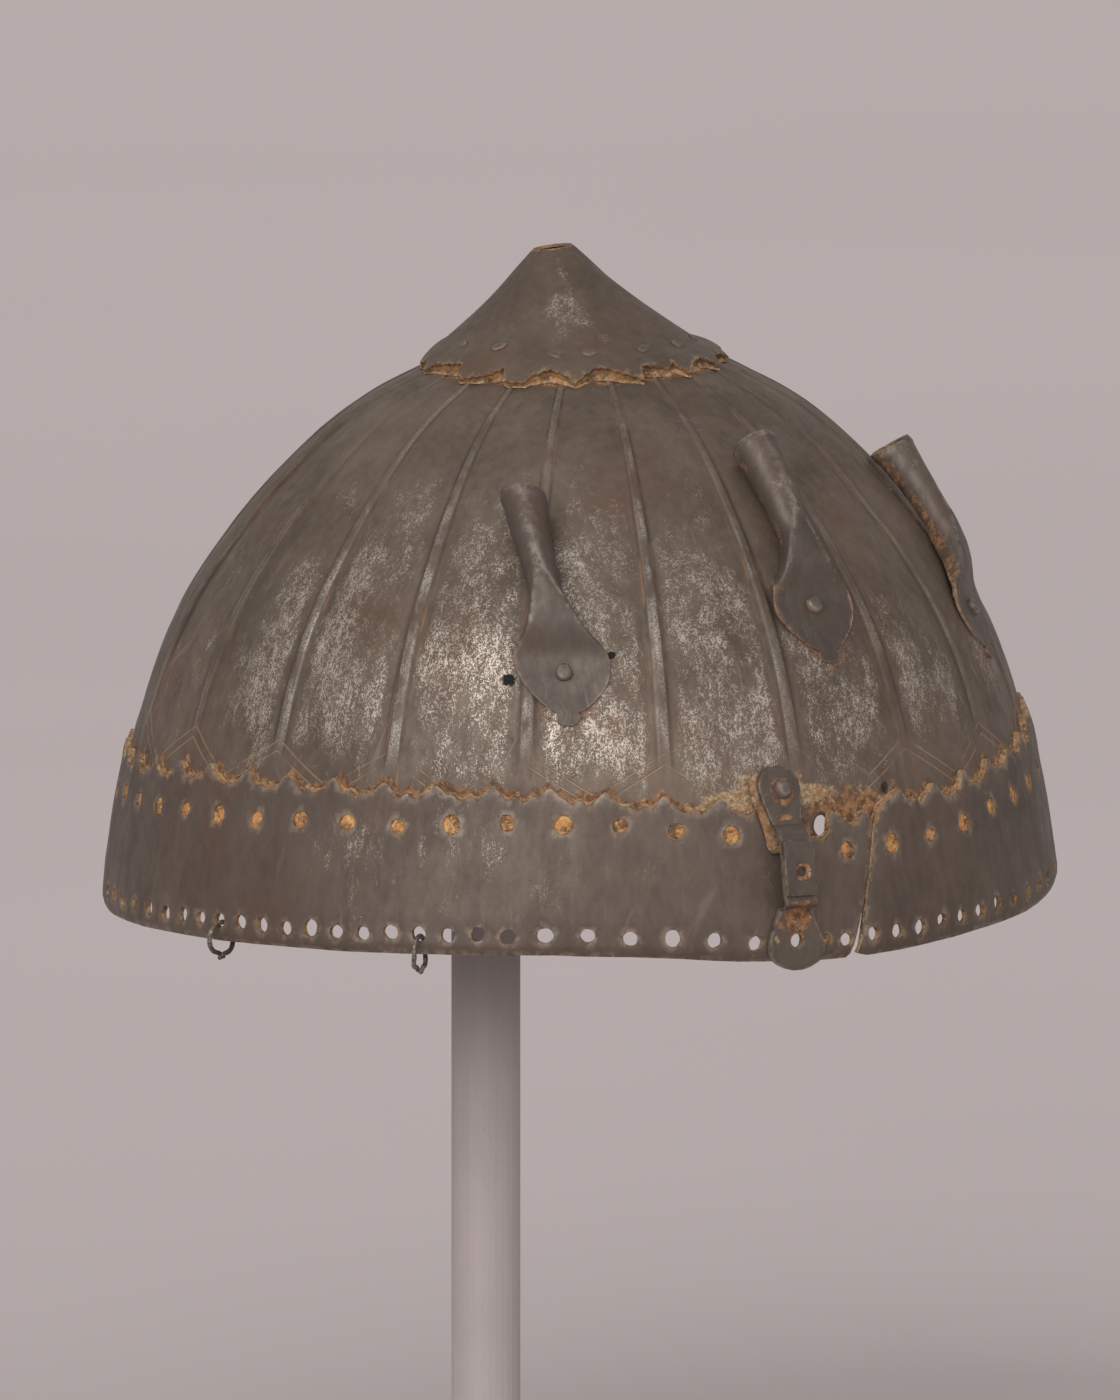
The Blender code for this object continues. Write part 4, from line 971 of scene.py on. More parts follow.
def build_finial():
    """The concave cone with its torn edge, its crust and its rivets."""
    lo, hi = (end * CAP_PER_DEG for end in CAP_ENDS)
    pattern = Pattern()
    first, last = CAP_ENDS
    angles = set(np.round(np.arange(first, last + 1e-6, 0.9), 3))
    angles = sorted(angles | set(float(t[0]) for t in TORN if first < t[0] < last))
    foot = [torn_depth(a) * 0.72 + 0.18 * math.sin(a * 1.9) for a in angles]
    foot[-1] = foot[0]
    pattern.chain([(a * CAP_PER_DEG, f) for a, f in zip(angles, foot)])
    pattern.chain([(a * CAP_PER_DEG, SLANT) for a in angles])

    def foot_at(u):
        return np.interp(u / CAP_PER_DEG, angles, foot)

    step = 1.25
    for j, v in enumerate(np.arange(0.8, SLANT - 0.6, 1.15)):
        for u in np.arange(lo, hi, step) + (step / 2 if j % 2 else 0.0):
            if lo + 0.4 < u < hi - 0.4 and v > foot_at(u) + 0.55:
                pattern.put(u, v)
    for v in np.arange(foot[0] + 1.0, SLANT - 0.6, 1.1):
        pattern.put(lo, v)
        pattern.put(hi, v)

    def inside(mid):
        return (mid[:, 1] > foot_at(mid[:, 0])) & (mid[:, 1] < SLANT)

    def values(u, v):
        a = u / CAP_PER_DEG
        up = v - float(foot_at(u))
        rust = 0.70 * fade(up, 0.9) + (0.9 if v > SLANT - 0.4 else 0.0)
        pale = 0.55 * fade(up, 0.6) * (0.4 + fractal(a * 0.12, 0.5, 8.0))
        return {"rust": min(rust, 1.0), "speck": min(0.07 + marks(a, v, CAP_WEAR), 1.0), "pale": clip(pale)}

    verts, faces, vals = sheet_from_pattern(
        pattern, inside, (lo, hi), lambda u, v, e: cap_point(u / CAP_PER_DEG, v / SLANT, e),
        lambda u, v: cap_point(u / CAP_PER_DEG, v / SLANT, CAP_WALL), values, 0.10)
    mat = iron("patina_finial", (0.104, 0.073, 0.053), (0.182, 0.132, 0.097),
               ("speck", "rust", "pale", "edge"), scratch=0.4)
    new_piece("finial_skin", verts, faces, mat, vals, slot="finial_iron", replaces=("finial_cap",),
              wall=rust_material("rust_walls_cap", 0.75), sharp=50)
    fill_notches(angles, foot)
    for i, (angle, share) in enumerate(CAP_RIVETS):
        here = cap_point(angle, share)
        up = cap_point(angle, share + 0.04) - here
        side = cap_point(angle + 4, share) - cap_point(angle - 4, share)
        out = side.cross(up).normalized()
        place = seat(here + out * 0.05 * MM, out, up)
        place = place @ Matrix.Rotation(math.radians(28 * math.sin(i * 2.2)), 4, 'Z')
        rivet("finial_rivet_skin_%02d" % (i + 1), place, 1.25, 0.42, "finial_rivet_%02d" % (i + 1), oval=1.45,
              seed=i)


def on_dome(point, lift):
    """The place on the bowl straight under a point of the finial."""
    x, y = (point - AXIS).xy / MM
    return AXIS + Vector((x, y, dome_height(math.hypot(x, y)) + lift)) * MM


def fill_notches(angles, foot):
    """Rust that fills the gap between the bowl and the finial's torn edge."""
    verts, faces = [], []
    turns = np.linspace(angles[0], angles[-1], 330, endpoint=False)
    for a in turns:
        low = float(np.interp(a, angles, foot))
        ragged = fractal(a * 0.22, 1.5, 3.0)
        out = cap_point(a, (low - 0.15 - 0.55 * ragged) / SLANT, CAP_WALL)
        edge = cap_point(a, (low + 0.55 - 0.25 * ragged) / SLANT, CAP_WALL * 0.9)
        back = cap_point(a, (low + 3.4) / SLANT, CAP_WALL * 1.05)
        mid = on_dome(out.lerp(edge, 0.45), 0.0).lerp(edge, 0.62 + 0.3 * ragged)
        verts.extend((on_dome(out, -0.15), mid, edge, back, on_dome(back, -0.4)))
    count = len(turns)
    for k in range(count):
        a, b = k * 5, (k + 1) % count * 5
        faces.extend((a + i, a + (i + 1) % 5, b + (i + 1) % 5, b + i) for i in range(5))
    new_piece("notch_crust", verts, faces, rust_material("rust_notches", 0.66, (1.12, 0.92, 0.62)),
              slot="rusty_plate", outward=True)


def seat(point, outward, upward):
    """Placement whose Z axis points out and whose Y axis is nearly up."""
    z = outward.normalized()
    x = upward.cross(z).normalized()
    return Matrix.Translation(point) @ Matrix((x, z.cross(x), z)).transposed().to_4x4()


RIVET_MATS = {}


def rivet(name, place, radius, height, node, oval=1.0, flat=0.55, seed=0, rusty=0.35):
    """A hammered rivet head, sizes in millimetres."""
    if rusty not in RIVET_MATS:
        RIVET_MATS[rusty] = iron("rivet_iron_%d" % int(rusty * 100), (0.095, 0.076, 0.066),
                                 (0.185, 0.155, 0.132), ("speck", "rust", "edge"), scratch=0.6, speck=0.12)
    profile = ((flat * 0.5, 1.0), (flat, 0.97), (flat + 0.2, 0.88), (0.90, 0.66), (0.98, 0.36), (1.0, 0.0),
               (0.94, -0.18))
    verts, rust, edge = [], [], []
    count = 24
    for r, h in profile:
        for k in range(count):
            a = 2 * math.pi * k / count
            wob = 1 + 0.045 * math.sin(2 * a + seed) + 0.035 * math.sin(3 * a + 2.3 * seed)
            dent = 0.10 * math.sin(a * 2 + seed * 1.7) * r + 0.05 * math.sin(a * 5 + seed)
            p = Vector((oval * wob * math.cos(a), wob * math.sin(a), 0.0)) * r * radius
            p.z = (h + dent * 0.5) * height
            verts.append(place @ (p * MM))
            rust.append(rusty + (0.5 if h < 0.4 else 0.0))
            edge.append(fade(r - flat - 0.2, 0.16))
    verts.append(place @ Vector((0, 0, 1.02 * height * MM)))
    rust.append(rusty * 0.6)
    edge.append(0.1)
    top = len(verts) - 1
    faces = [(a, d, c, b) for a, b, c, d in grid_faces(len(profile), count)]
    faces.extend((top, k, (k + 1) % count) for k in range(count))
    faces.append(tuple(range(top - count, top))[::-1])
    return new_piece(name, verts, faces, RIVET_MATS[rusty], {"rust": rust, "edge": edge}, slot="rivet_iron",
                     replaces=(node,))


# Plume sockets
# Share of the length, half width, bend in degrees and where the crease lies
SHEET = ((0.00, 11.35, 2, 0.97), (0.20, 11.35, 4, 0.97), (0.27, 11.35, 12, 0.93), (0.31, 11.3, 30, 0.86),
         (0.345, 11.2, 58, 0.76), (0.38, 11.0, 84, 0.64), (0.41, 10.8, 98, 0.55), (0.46, 10.7, 112, 0.44),
         (0.526, 10.9, 124, 0.30), (0.594, 11.1, 144, 0.15), (0.64, 11.4, 156, 0.04), (0.72, 12.3, 164, 0.0),
         (0.80, 13.6, 167, 0.0), (1.00, 16.4, 168, 0.0))
# Share of the length and share of the half width
LEAF = ((0.000, 0.10), (0.012, 0.20), (0.030, 0.255), (0.046, 0.245), (0.054, 0.20), (0.062, 0.30),
        (0.078, 0.42), (0.105, 0.58), (0.145, 0.76), (0.190, 0.90), (0.235, 0.98), (0.275, 1.00),
        (0.310, 0.985), (0.340, 0.96), (0.37, 1.0), (1.0, 1.0))


def sheet_row(t, left_step):
    """Cross section of a rolled sheet at a share of its length."""
    half, bend, crease = (lookup(t, SHEET, k) for k in (1, 2, 3))
    leaf = lookup(t, LEAF)
    uniform = ease((t - 0.45) / 0.19)
    count = 20
    row = {}
    for sign in (-1, 1):
        wide = half * leaf
        if sign < 0 and left_step:
            wide -= 1.7 * ease((t - 0.325) / 0.02) * (1 - ease((t - 0.36) / 0.12))
        x = y = s = 0.0
        ds = wide / count
        row[sign] = [(0.0, 0.0)]
        for _ in range(count):
            mid = s + ds / 2
            past = mid - crease * half
            kinked = bend * ease(past / max(1.1, 0.12 * half))
            kinked *= 0.60 + 0.40 * max(0.0, past / max(half * (1 - crease), 0.1))
            a = math.radians(kinked * (1 - uniform) + bend * mid / half * uniform)
            x += ds * math.cos(a)
            y -= ds * math.sin(a)
            s += ds
            row[sign].append((sign * x, y))
    return row[-1][:0:-1] + row[1]


def socket_rows(name, stations):
    """Base point, outward and sideways directions, section and lift at every station."""
    rows = []
    for t in stations:
        angle, z = socket_line(name, t)
        nr, nz = bowl_normal(z)
        base = polar(angle, bowl_radius(z), z)
        out = turn(angle, 0, nr, nz)
        side = turn(angle, 1, 0, 0)
        rho = math.hypot(*(base - AXIS).xy) / MM
        row = sheet_row(t, name == "left")
        if name == "right":
            narrow = 1 - 0.10 * ease((t - 0.45) / 0.2)
            row = [(x * narrow, y * narrow) for x, y in row]
        rise = max(-x * x / (2 * rho) - y for x, y in row) + 1.15 + 0.2 * ease((t - 0.5) / 0.3)
        rows.append((base, out, side, row, rise, t))
    rises = np.array([r[4] for r in rows])
    highest = np.array([rises[np.abs(stations - t) < 0.03].max() for t in stations])
    rises = np.where(stations < 0.45, highest, rises)
    near = np.exp(-((stations[:, None] - stations[None, :]) / 0.055) ** 2)
    smooth = (near @ rises) / near.sum(axis=1)
    return [r[:4] + (max(float(v), r[4] - 0.35), r[5]) for r, v in zip(rows, smooth)]


def socket_values(name, t, i, count):
    """Wear, rust and painted highlights on the creases at a point of a socket's section."""
    s = abs(i - count // 2) / (count // 2)
    crease = lookup(t, SHEET, 3)
    # g: painted highlight along the creases, down the middle of the tube, on the mouth's lip and on the
    # leaf's edges
    g = 0.9 * fade(s - crease - 0.02, 0.05) * ease((t - 0.38) / 0.05) * (1 - ease((t - 0.66) / 0.1))
    g += 0.5 * fade(s, 0.10) * ease((t - 0.60) / 0.05) + 0.55 * fade(t - 0.99, 0.02)
    border = (1 - s) * 11 if t < 0.36 else 9.0
    g += 0.7 * fade(border, 0.7)
    speck = 0.06 + 0.16 * fade(t - 0.88, 0.14) * (1 - s) + 0.05 * ease((0.3 - t) / 0.2)
    r = 0.25 * fade(t - 0.235, 0.05) * fade(s, 0.35) + 0.6 * fade(border, 0.5)
    r += 0.8 * blob(t * 100, i, (79, count * 0.47), (2.2, 1.2))
    rear = 0.68 if name == "right" else 0.25
    r += rear * 0.9 * ease((s - 0.42) / 0.3) * ease((t - 0.2) / 0.2)
    r += 0.25 if name == "front" and s > 0.5 else 0
    return min(g, 1.0), speck, min(r, 1.0)


def build_sockets():
    """Three sheets rolled into tubes, each on its leaf with a rivet."""
    mat = iron("patina_socket", (0.080, 0.060, 0.049), (0.150, 0.114, 0.091),
               ("speck", "rust", "glint", "edge"), scratch=0.35, gloss=0.04, spots=SPOTS)
    stations = np.concatenate((np.linspace(0.0, 0.10, 16), np.linspace(0.108, 0.34, 24),
                               np.linspace(0.35, 0.66, 30), np.linspace(0.675, 0.985, 20), [0.995, 1.0]))
    for name in SOCKETS:
        outer, inner, speck, rust, glint, edge = [], [], [], [], [], []
        rows = socket_rows(name, stations)
        count = len(rows[0][3])
        for base, out, side, row, rise, t in rows:
            for i, (x, y) in enumerate(row):
                lo, hi = max(i - 1, 0), min(i + 1, count - 1)
                tx, ty = row[hi][0] - row[lo][0], row[hi][1] - row[lo][1]
                size = math.hypot(tx, ty) or 1.0
                nx, ny = -ty / size, tx / size
                thick = 1.25 if t > 0.36 else 1.05
                if t < 0.30:
                    thick *= 0.65 + 0.35 * ease(min(i, count - 1 - i) / 4)
                dent = 0.10 * fractal(t * 14, i * 0.2, len(name) + 0.5)
                lip = 0.28 * fade(t - 0.975, 0.012)
                po = base + (side * (x + nx * (dent + lip)) + out * (y + rise + ny * (dent + lip))) * MM
                pi = base + (side * (x - nx * thick) + out * (y + rise - ny * thick)) * MM
                if name == "right":
                    along = out.cross(side) * (-0.26 * (y + rise) * ease((t - 0.78) / 0.22) * MM)
                    po, pi = po + along, pi + along
                outer.append(po)
                inner.append(pi)
                g, w, r = socket_values(name, t, i, count)
                glint.append(g)
                speck.append(w)
                rust.append(r)
                edge.append(1.0 if i in (0, count - 1) or t in (stations[0], stations[-1]) else 0.0)
        n = len(outer)
        faces = []
        for a, b, c, d in grid_faces(len(rows), count, closed=False):
            faces += [(b, c, d, a), (d + n, c + n, b + n, a + n)]
        for j in range(len(rows) - 1):
            a, b = j * count, (j + 1) * count - 1
            faces += [(a + count, a + n + count, a + n, a), (b, b + n, b + n + count, b + count)]
        last = n - count
        for i in range(count - 1):
            faces += [(i + n, i + 1 + n, i + 1, i), (last + i + 1, last + i + 1 + n, last + i + n, last + i)]
        values = {"speck": speck * 2, "rust": rust + [min(1.0, r + 0.45) for r in rust],
                  "glint": glint + [0.0] * n, "edge": edge * 2}
        new_piece("plume_socket_skin_" + name, outer + inner, faces, mat, values, slot="socket_iron",
                  replaces=("plume_socket_" + name,), outward=True, sharp=48)
        t = 0.262 if name == "front" else 0.232
        angle, z = socket_line(name, t)
        nr, nz = bowl_normal(z)
        out = turn(angle, 0, nr, nz)
        near = min(rows, key=lambda r: abs(r[5] - t))
        here = near[0] + (out * (near[4] + 0.02)) * MM
        up = turn(angle, 0, -nz, nr)
        rivet("socket_rivet_skin_" + name, seat(here, out, up), 2.15, 1.25, "socket_rivet_" + name, flat=0.62,
              seed=len(name), rusty=0.12)


# Nasal bracket
# Height and lift of the strap above the band
ARCH = ((-4.9, 0.0), (9.2, 0.0), (9.7, 0.12), (9.95, 0.7), (10.1, 1.9), (10.35, 3.1), (10.8, 3.9),
        (11.2, 4.1), (26.0, 4.1), (26.6, 3.95), (27.2, 3.5), (27.9, 3.0), (28.7, 2.6), (29.15, 2.4),
        (29.35, 1.9), (29.55, 1.1), (30.1, 0.0), (43.0, 0.0))
# Height, left edge and right edge
STRAP_SIDES = ((43.0, -5.3, -1.9), (42.4, -6.9, -0.4), (41.2, -8.1, 0.8), (39.6, -8.8, 1.6),
               (37.9, -8.9, 1.85), (35.6, -8.3, 1.85), (33.0, -7.3, 1.65), (30.2, -6.35, 1.4),
               (29.2, -6.2, 1.9), (27.0, -5.9, 2.15), (24.0, -5.78, 2.18), (19.0, -5.78, 2.18),
               (12.5, -5.75, 2.2), (9.6, -5.5, 3.1), (7.6, -6.2, 3.7), (5.6, -7.0, 4.35), (3.2, -7.9, 5.3),
               (0.6, -8.25, 6.0), (-1.6, -7.9, 5.8), (-3.2, -6.5, 4.4), (-4.4, -4.2, 2.0), (-4.9, -2.2, 0.1))
BACKING_SIDES = ((41.4, -8.6, -1.5), (40.2, -9.9, 0.9), (38.0, -10.4, 2.1), (35.4, -10.0, 2.2),
                 (32.6, -9.0, 2.0), (30.0, -8.2, 1.8), (27.6, -7.6, 1.6), (25.2, -7.2, 1.4),
                 (23.6, -6.8, 0.8), (22.6, -5.8, -0.8))
PLATE_HOLE, LOBE_HOLE, HEAD = (-1.1, 18.8), (-1.2, 2.16), (-2.8, 37.9)
# Raised plate: middle, half width, lower and upper edge, corner radius
MIDDLE, PLATE_HALF, PLATE_LOW, PLATE_HIGH, CORNER = -1.8, 3.98, 13.35, 26.3, 0.5
STRAP_WALL, BACKING_WALL, ARCH_LIFT = 1.3, 0.8, 4.1


def flat_sheet(outline, holes, step):
    """Flat pattern of an outline with holes, and its inside test."""
    pattern = Pattern()
    loops = [np.array(loop) for loop in [outline] + holes]
    for loop in [outline] + holes:
        pattern.chain(loop, close=True)
    fixed = np.array(pattern.points)

    def within(xy, loop):
        hit = np.zeros(len(xy), bool)
        a, b = loop, np.roll(loop, -1, axis=0)
        for (x0, y0), (x1, y1) in zip(a, b):
            cross = (y0 > xy[:, 1]) != (y1 > xy[:, 1])
            xs = x0 + (xy[:, 1] - y0) / (y1 - y0 if y1 != y0 else 1e-9) * (x1 - x0)
            hit ^= cross & (xy[:, 0] < xs)
        return hit

    def inside(xy):
        ok = within(xy, loops[0])
        for loop in loops[1:]:
            ok &= ~within(xy, loop)
        return ok

    lo, hi = fixed.min(axis=0), fixed.max(axis=0)
    grid = [(x + (step / 2 if j % 2 else 0), y) for j, y in enumerate(np.arange(lo[1], hi[1], step * 0.87))
            for x in np.arange(lo[0], hi[0], step)]
    grid = np.array(grid)
    grid = grid[inside(grid)]
    far = np.array([np.min(np.hypot(*(fixed - g).T)) > step * 0.55 for g in grid])
    pattern.points.extend(map(tuple, grid[far]))
    return pattern, inside


def round_loop(x, y, rx, ry, count, seed=0.0, rough_by=0.03):
    return [(x + rx * math.cos(a) * (1 + rough_by * math.sin(2 * a + seed)),
             y + ry * math.sin(a) * (1 + rough_by * math.sin(3 * a + seed)))
            for a in np.linspace(0, 2 * math.pi, count, endpoint=False)]


def side_outline(table, step=0.6):
    """Closed outline from rows of height, left and right edge."""
    left = smooth_line([(r[1], r[0]) for r in table], 6)
    right = smooth_line([(r[2], r[0]) for r in table], 6)
    loop = list(map(tuple, left)) + list(map(tuple, right[::-1]))
    out = [loop[0]]
    for p in loop[1:]:
        if math.hypot(p[0] - out[-1][0], p[1] - out[-1][1]) > step * 0.6:
            out.append(p)
    return out


def brow_point(x, z, lift):
    """Point standing off the band in front of the brow."""
    r = band_outer(math.degrees(x / BAND_R), max(z, low_line(0) + 2.6))
    flat = min(lift / 4.0, 1.0)
    y = math.sqrt(r * r - x * x) * (1 - flat) + r * flat
    return AXIS + Vector((x, -(y + lift), z)) * MM


def brow_sheet(name, outline, holes, step, outer, inner, values, rounding, mat, slot, **more):
    """Cuts an outline from sheet and lays it over the band, outer and inner faces at their lifts."""
    pattern, inside = flat_sheet(outline, holes, step)
    verts, faces, vals = sheet_from_pattern(
        pattern, inside, (-99.0, 99.0), lambda x, z, e: brow_point(x, z, outer(x, z, e)),
        lambda x, z: brow_point(x, z, inner(x, z)), values, rounding)
    new_piece(name, verts, faces, mat, vals, slot=slot, outward=True, **more)


def strap_lift(x, z):
    """How far the strap's inner face stands off the band."""
    under = BACKING_WALL + GAP
    base = GAP + max(under * ease((z - 20.5) / 1.8), lookup(z, ARCH))
    base += 0.14 * fractal(x * 0.2, z * 0.12, 5.0)
    if 10.3 < z < 12.7:
        base += 0.50 * math.sqrt(max(0.0, 1 - ((z - 11.45) / 1.15) ** 2))
    if z > 31:
        base += 0.35 * (1 - min(1.0, math.hypot(x - HEAD[0], z - HEAD[1]) / 4.5) ** 2)
    if z < 9:
        base += 0.30 * ease((abs(x - LOBE_HOLE[0]) - 3) / 5) * 0.5
    return base


def strap_values(x, z):
    r = marks(x, z, ((1.35, -0.9, 6.9, 3.7, 3.2), (0.95, -3.0, 31.1, 3.4, 1.0), (0.28, -3.4, 34.4, 2.4, 1.6),
                     (0.9, -1.8, 11.7, 3.4, 0.5), (0.6, -2.0, 27.9, 3.5, 0.5), (0.35, -6.0, 4, 1.2, 4),
                     (0.35, -1.0, 9.8, 4, 0.8)))
    r += 0.66 * fade(math.hypot(x - HEAD[0] + 0.2, z - HEAD[1] + 0.4) - 2.7, 0.9)
    r += 0.6 * fade(math.hypot(x - LOBE_HOLE[0], z - LOBE_HOLE[1]) - 1.6, 0.5)
    p = marks(x, z, ((0.5, -6.4, 2.4, 1.2, 1.6), (0.5, -3.0, 34.2, 2.0, 0.8), (0.45, -2.6, 31.4, 1.8, 0.6)))
    return {"rust": min(r, 1.0), "pale": min(p, 1.0)}


def plate_outline():
    """Rounded rectangle with a point about every 0.6 mm."""
    half = PLATE_HALF - CORNER
    loop = []
    for side, z, start in ((1, PLATE_HIGH - CORNER, 0), (-1, PLATE_HIGH - CORNER, 90),
                           (-1, PLATE_LOW + CORNER, 180), (1, PLATE_LOW + CORNER, 270)):
        for k in range(4):
            a = math.radians(start + k * 30)
            loop.append((MIDDLE + side * half + CORNER * math.cos(a), z + CORNER * math.sin(a)))
    dense = []
    for p, q in zip(loop, loop[1:] + loop[:1]):
        dx, dy = q[0] - p[0], q[1] - p[1]
        steps = max(1, int(math.hypot(dx, dy) / 0.6))
        dense.extend((p[0] + dx * k / steps, p[1] + dy * k / steps) for k in range(steps))
    return dense


def build_bracket():
    """The nasal bracket: strap, raised plate, rusty backing and rivet."""
    mat = iron("patina_bracket", (0.074, 0.056, 0.046), (0.138, 0.106, 0.085),
               ("speck", "rust", "pale", "edge"), scratch=0.7, speck=0.08)
    holes = [round_loop(*PLATE_HOLE, 1.15, 1.15, 14), round_loop(*LOBE_HOLE, 1.6, 1.6, 18, 1.0)]
    brow_sheet("nasal_bracket_skin", side_outline(STRAP_SIDES, 0.55), holes, 0.62,
               lambda x, z, e: strap_lift(x, z) + STRAP_WALL - e, strap_lift, strap_values, 0.16, mat,
               "bracket_iron", replaces=("nasal_bracket",), sharp=42)

    def from_hole(x, z):
        return math.hypot(x - PLATE_HOLE[0], z - PLATE_HOLE[1])

    def plate_values(x, z):
        cone = 1 - ease((from_hole(x, z) - 1.95) / 0.4)
        pale = 0.35 * blob(x, z, (-3.0, 25.5), (1.0, 0.5)) + 0.75 * cone * (0.6 + 0.4 * math.sin(3 * x))
        return {"rust": min(1.0, cone + 0.3 * fade(z - PLATE_HIGH, 0.8)), "pale": pale}

    def plate_lift(x, z):
        return GAP + ARCH_LIFT + STRAP_WALL + 0.06 * fractal(x * 0.3, z * 0.2, 3.0)

    def plate_top(x, z, e):
        return plate_lift(x, z) + 0.95 - 1.2 * e - 0.75 * (1 - ease((from_hole(x, z) - 1.15) / 1.1))

    brow_sheet("bracket_plate_skin", plate_outline(), [round_loop(*PLATE_HOLE, 1.2, 1.2, 20, 0.5)], 0.42,
               plate_top, lambda x, z: plate_lift(x, z) - 0.25, plate_values, 0.14, mat, "bracket_iron",
               sharp=42)
    brow_sheet("bracket_backing_skin", side_outline(BACKING_SIDES, 0.6), [], 0.8,
               lambda x, z, e: GAP + 0.75 + 0.15 * fractal(x * 0.4, z * 0.3, 1.0) - e, lambda x, z: GAP,
               lambda x, z: {"grime": 0.5}, 0.12, rust_material("rust_plate", 0.9), "rusty_plate",
               replaces=("bracket_backing",))

    x, z = HEAD
    here = brow_point(x, z, strap_lift(x, z) + STRAP_WALL)
    slope = brow_point(x, z + 1, strap_lift(x, z + 1)) - brow_point(x, z - 1, strap_lift(x, z - 1))
    out = Vector((0.0, -slope.z, slope.y)).normalized()
    rivet("bracket_rivet_skin", seat(here - out * 0.1 * MM, out, slope), 2.15, 1.35, "bracket_rivet",
          flat=0.35, seed=3, rusty=0.2)


# Rust crust
def band_crust(a):
    """One row of the crust that lies along the band's edge."""
    top = top_line(a)
    valley = min(max((band_line(a, 2) - top) / SCALLOP_DEPTH, 0.0), 1.2)
    if BREAK[0][0] < a < BREAK[-1][0]:
        valley = 0.7
    grow = 0.55 + 1.1 * fractal(a * 0.35, 1.0, 3.3)
    thick = max(0.06, (0.20 + 0.75 * valley) * max(grow, 0.12))
    tall = max(0.15, (0.22 + 0.90 * valley) * (0.6 + 0.8 * abs(fractal(a * 0.5, 2.0, 8.0)) + 0.3))
    for k in range(7):
        p = k / 6
        z = top - 0.35 + p * tall
        body = math.sin(math.pi * min(1.0, p * 0.92 + 0.08)) ** 0.6
        r = bowl_radius(z) + 0.05 + min(thick, 1.25) * body * (1 + 0.35 * fractal(a * 1.6, p * 2.0, 6.0))
        yield polar(a, r + (0.25 if k == 0 else 0.0), z)


def finial_crust(a):
    """One row of the crust that lies along the finial's edge."""
    depth = torn_depth(a) * 0.9
    deep = min(depth / 4.0, 1.2)
    grow = max(0.15, 0.6 + 1.2 * fractal(a * 0.22, 4.0, 1.7))
    wide = (0.35 + 1.5 * deep) * (0.6 + 0.9 * abs(fractal(a * 0.3, 5.0, 2.0)))
    for k in range(6):
        p = k / 5
        v = depth + 0.35 - p * (wide + 0.35)
        point = cap_point(a, max(v / SLANT, 0.0), 0.35)
        if v < 0:
            point += (polar(a, 1, 0) - AXIS) * (-v * 0.85)
        flat = (point - AXIS) / MM
        dome = dome_height(min(math.hypot(flat.x, flat.y), 100.0)) + 0.40
        body = math.sin(math.pi * min(1.0, 0.10 + 0.9 * p)) ** 0.7
        top = dome + min(1.0, 0.95 * grow * (0.25 + deep)) * body * (1 + 0.3 * fractal(a * 0.9, p * 2.0, 9.0))
        point.z = AXIS.z + min(top, flat.z + 0.1 if k < 2 else top) * MM
        yield point


def build_crust(holes):
    """Crust along the torn and scalloped edges, and rust in the upper holes."""
    verts, faces = [], []
    for ends, step, row_of in ((BAND_ENDS, 0.28, band_crust), (CAP_ENDS, 0.55, finial_crust)):
        rows = [list(row_of(a)) for a in np.arange(ends[0], ends[1] + 0.01, step)]
        faces.extend(grid_faces(len(rows), len(rows[0]), len(verts), closed=False))
        for row in rows:
            verts.extend(row)
    new_piece("edge_crust", verts, faces, rust_material("rust_crust", 1.0), slot="rusty_plate")

    verts, faces = [], []
    rings = ((1.04, 0.70), (0.86, 0.52), (0.62, 0.62), (0.40, 0.48), (0.20, 0.34))
    count = 16
    for u, v, size, tall, i, kind in holes:
        a = u / PER_DEG
        if (kind and (i * 7) % 9 == 4 and a > 30) or (not kind and not 3.0 < a < 4.2):
            continue
        faces.extend(grid_faces(len(rings), count, len(verts)))
        for r, deep in rings:
            for k in range(count):
                b = 2 * math.pi * k / count
                bump = 0.18 * fractal(k * 0.9 + i, r * 4, i * 0.7)
                uu = u + size * r * math.cos(b)
                vv = v + size * r * tall * math.sin(b)
                verts.append(polar(uu / PER_DEG, band_outer(uu / PER_DEG, vv) - deep - bump, vv))
        last = len(verts) - count
        faces.extend((last + k, last + (k + 1) % count, last + count) for k in range(count))
        verts.append(polar(a + 0.15, band_outer(a, v) - 0.34, v + 0.1))
    new_piece("hole_rust", verts, faces, rust_material("rust_plugs", 1.35, (1.10, 0.90, 0.62)),
              slot="rusty_plate")


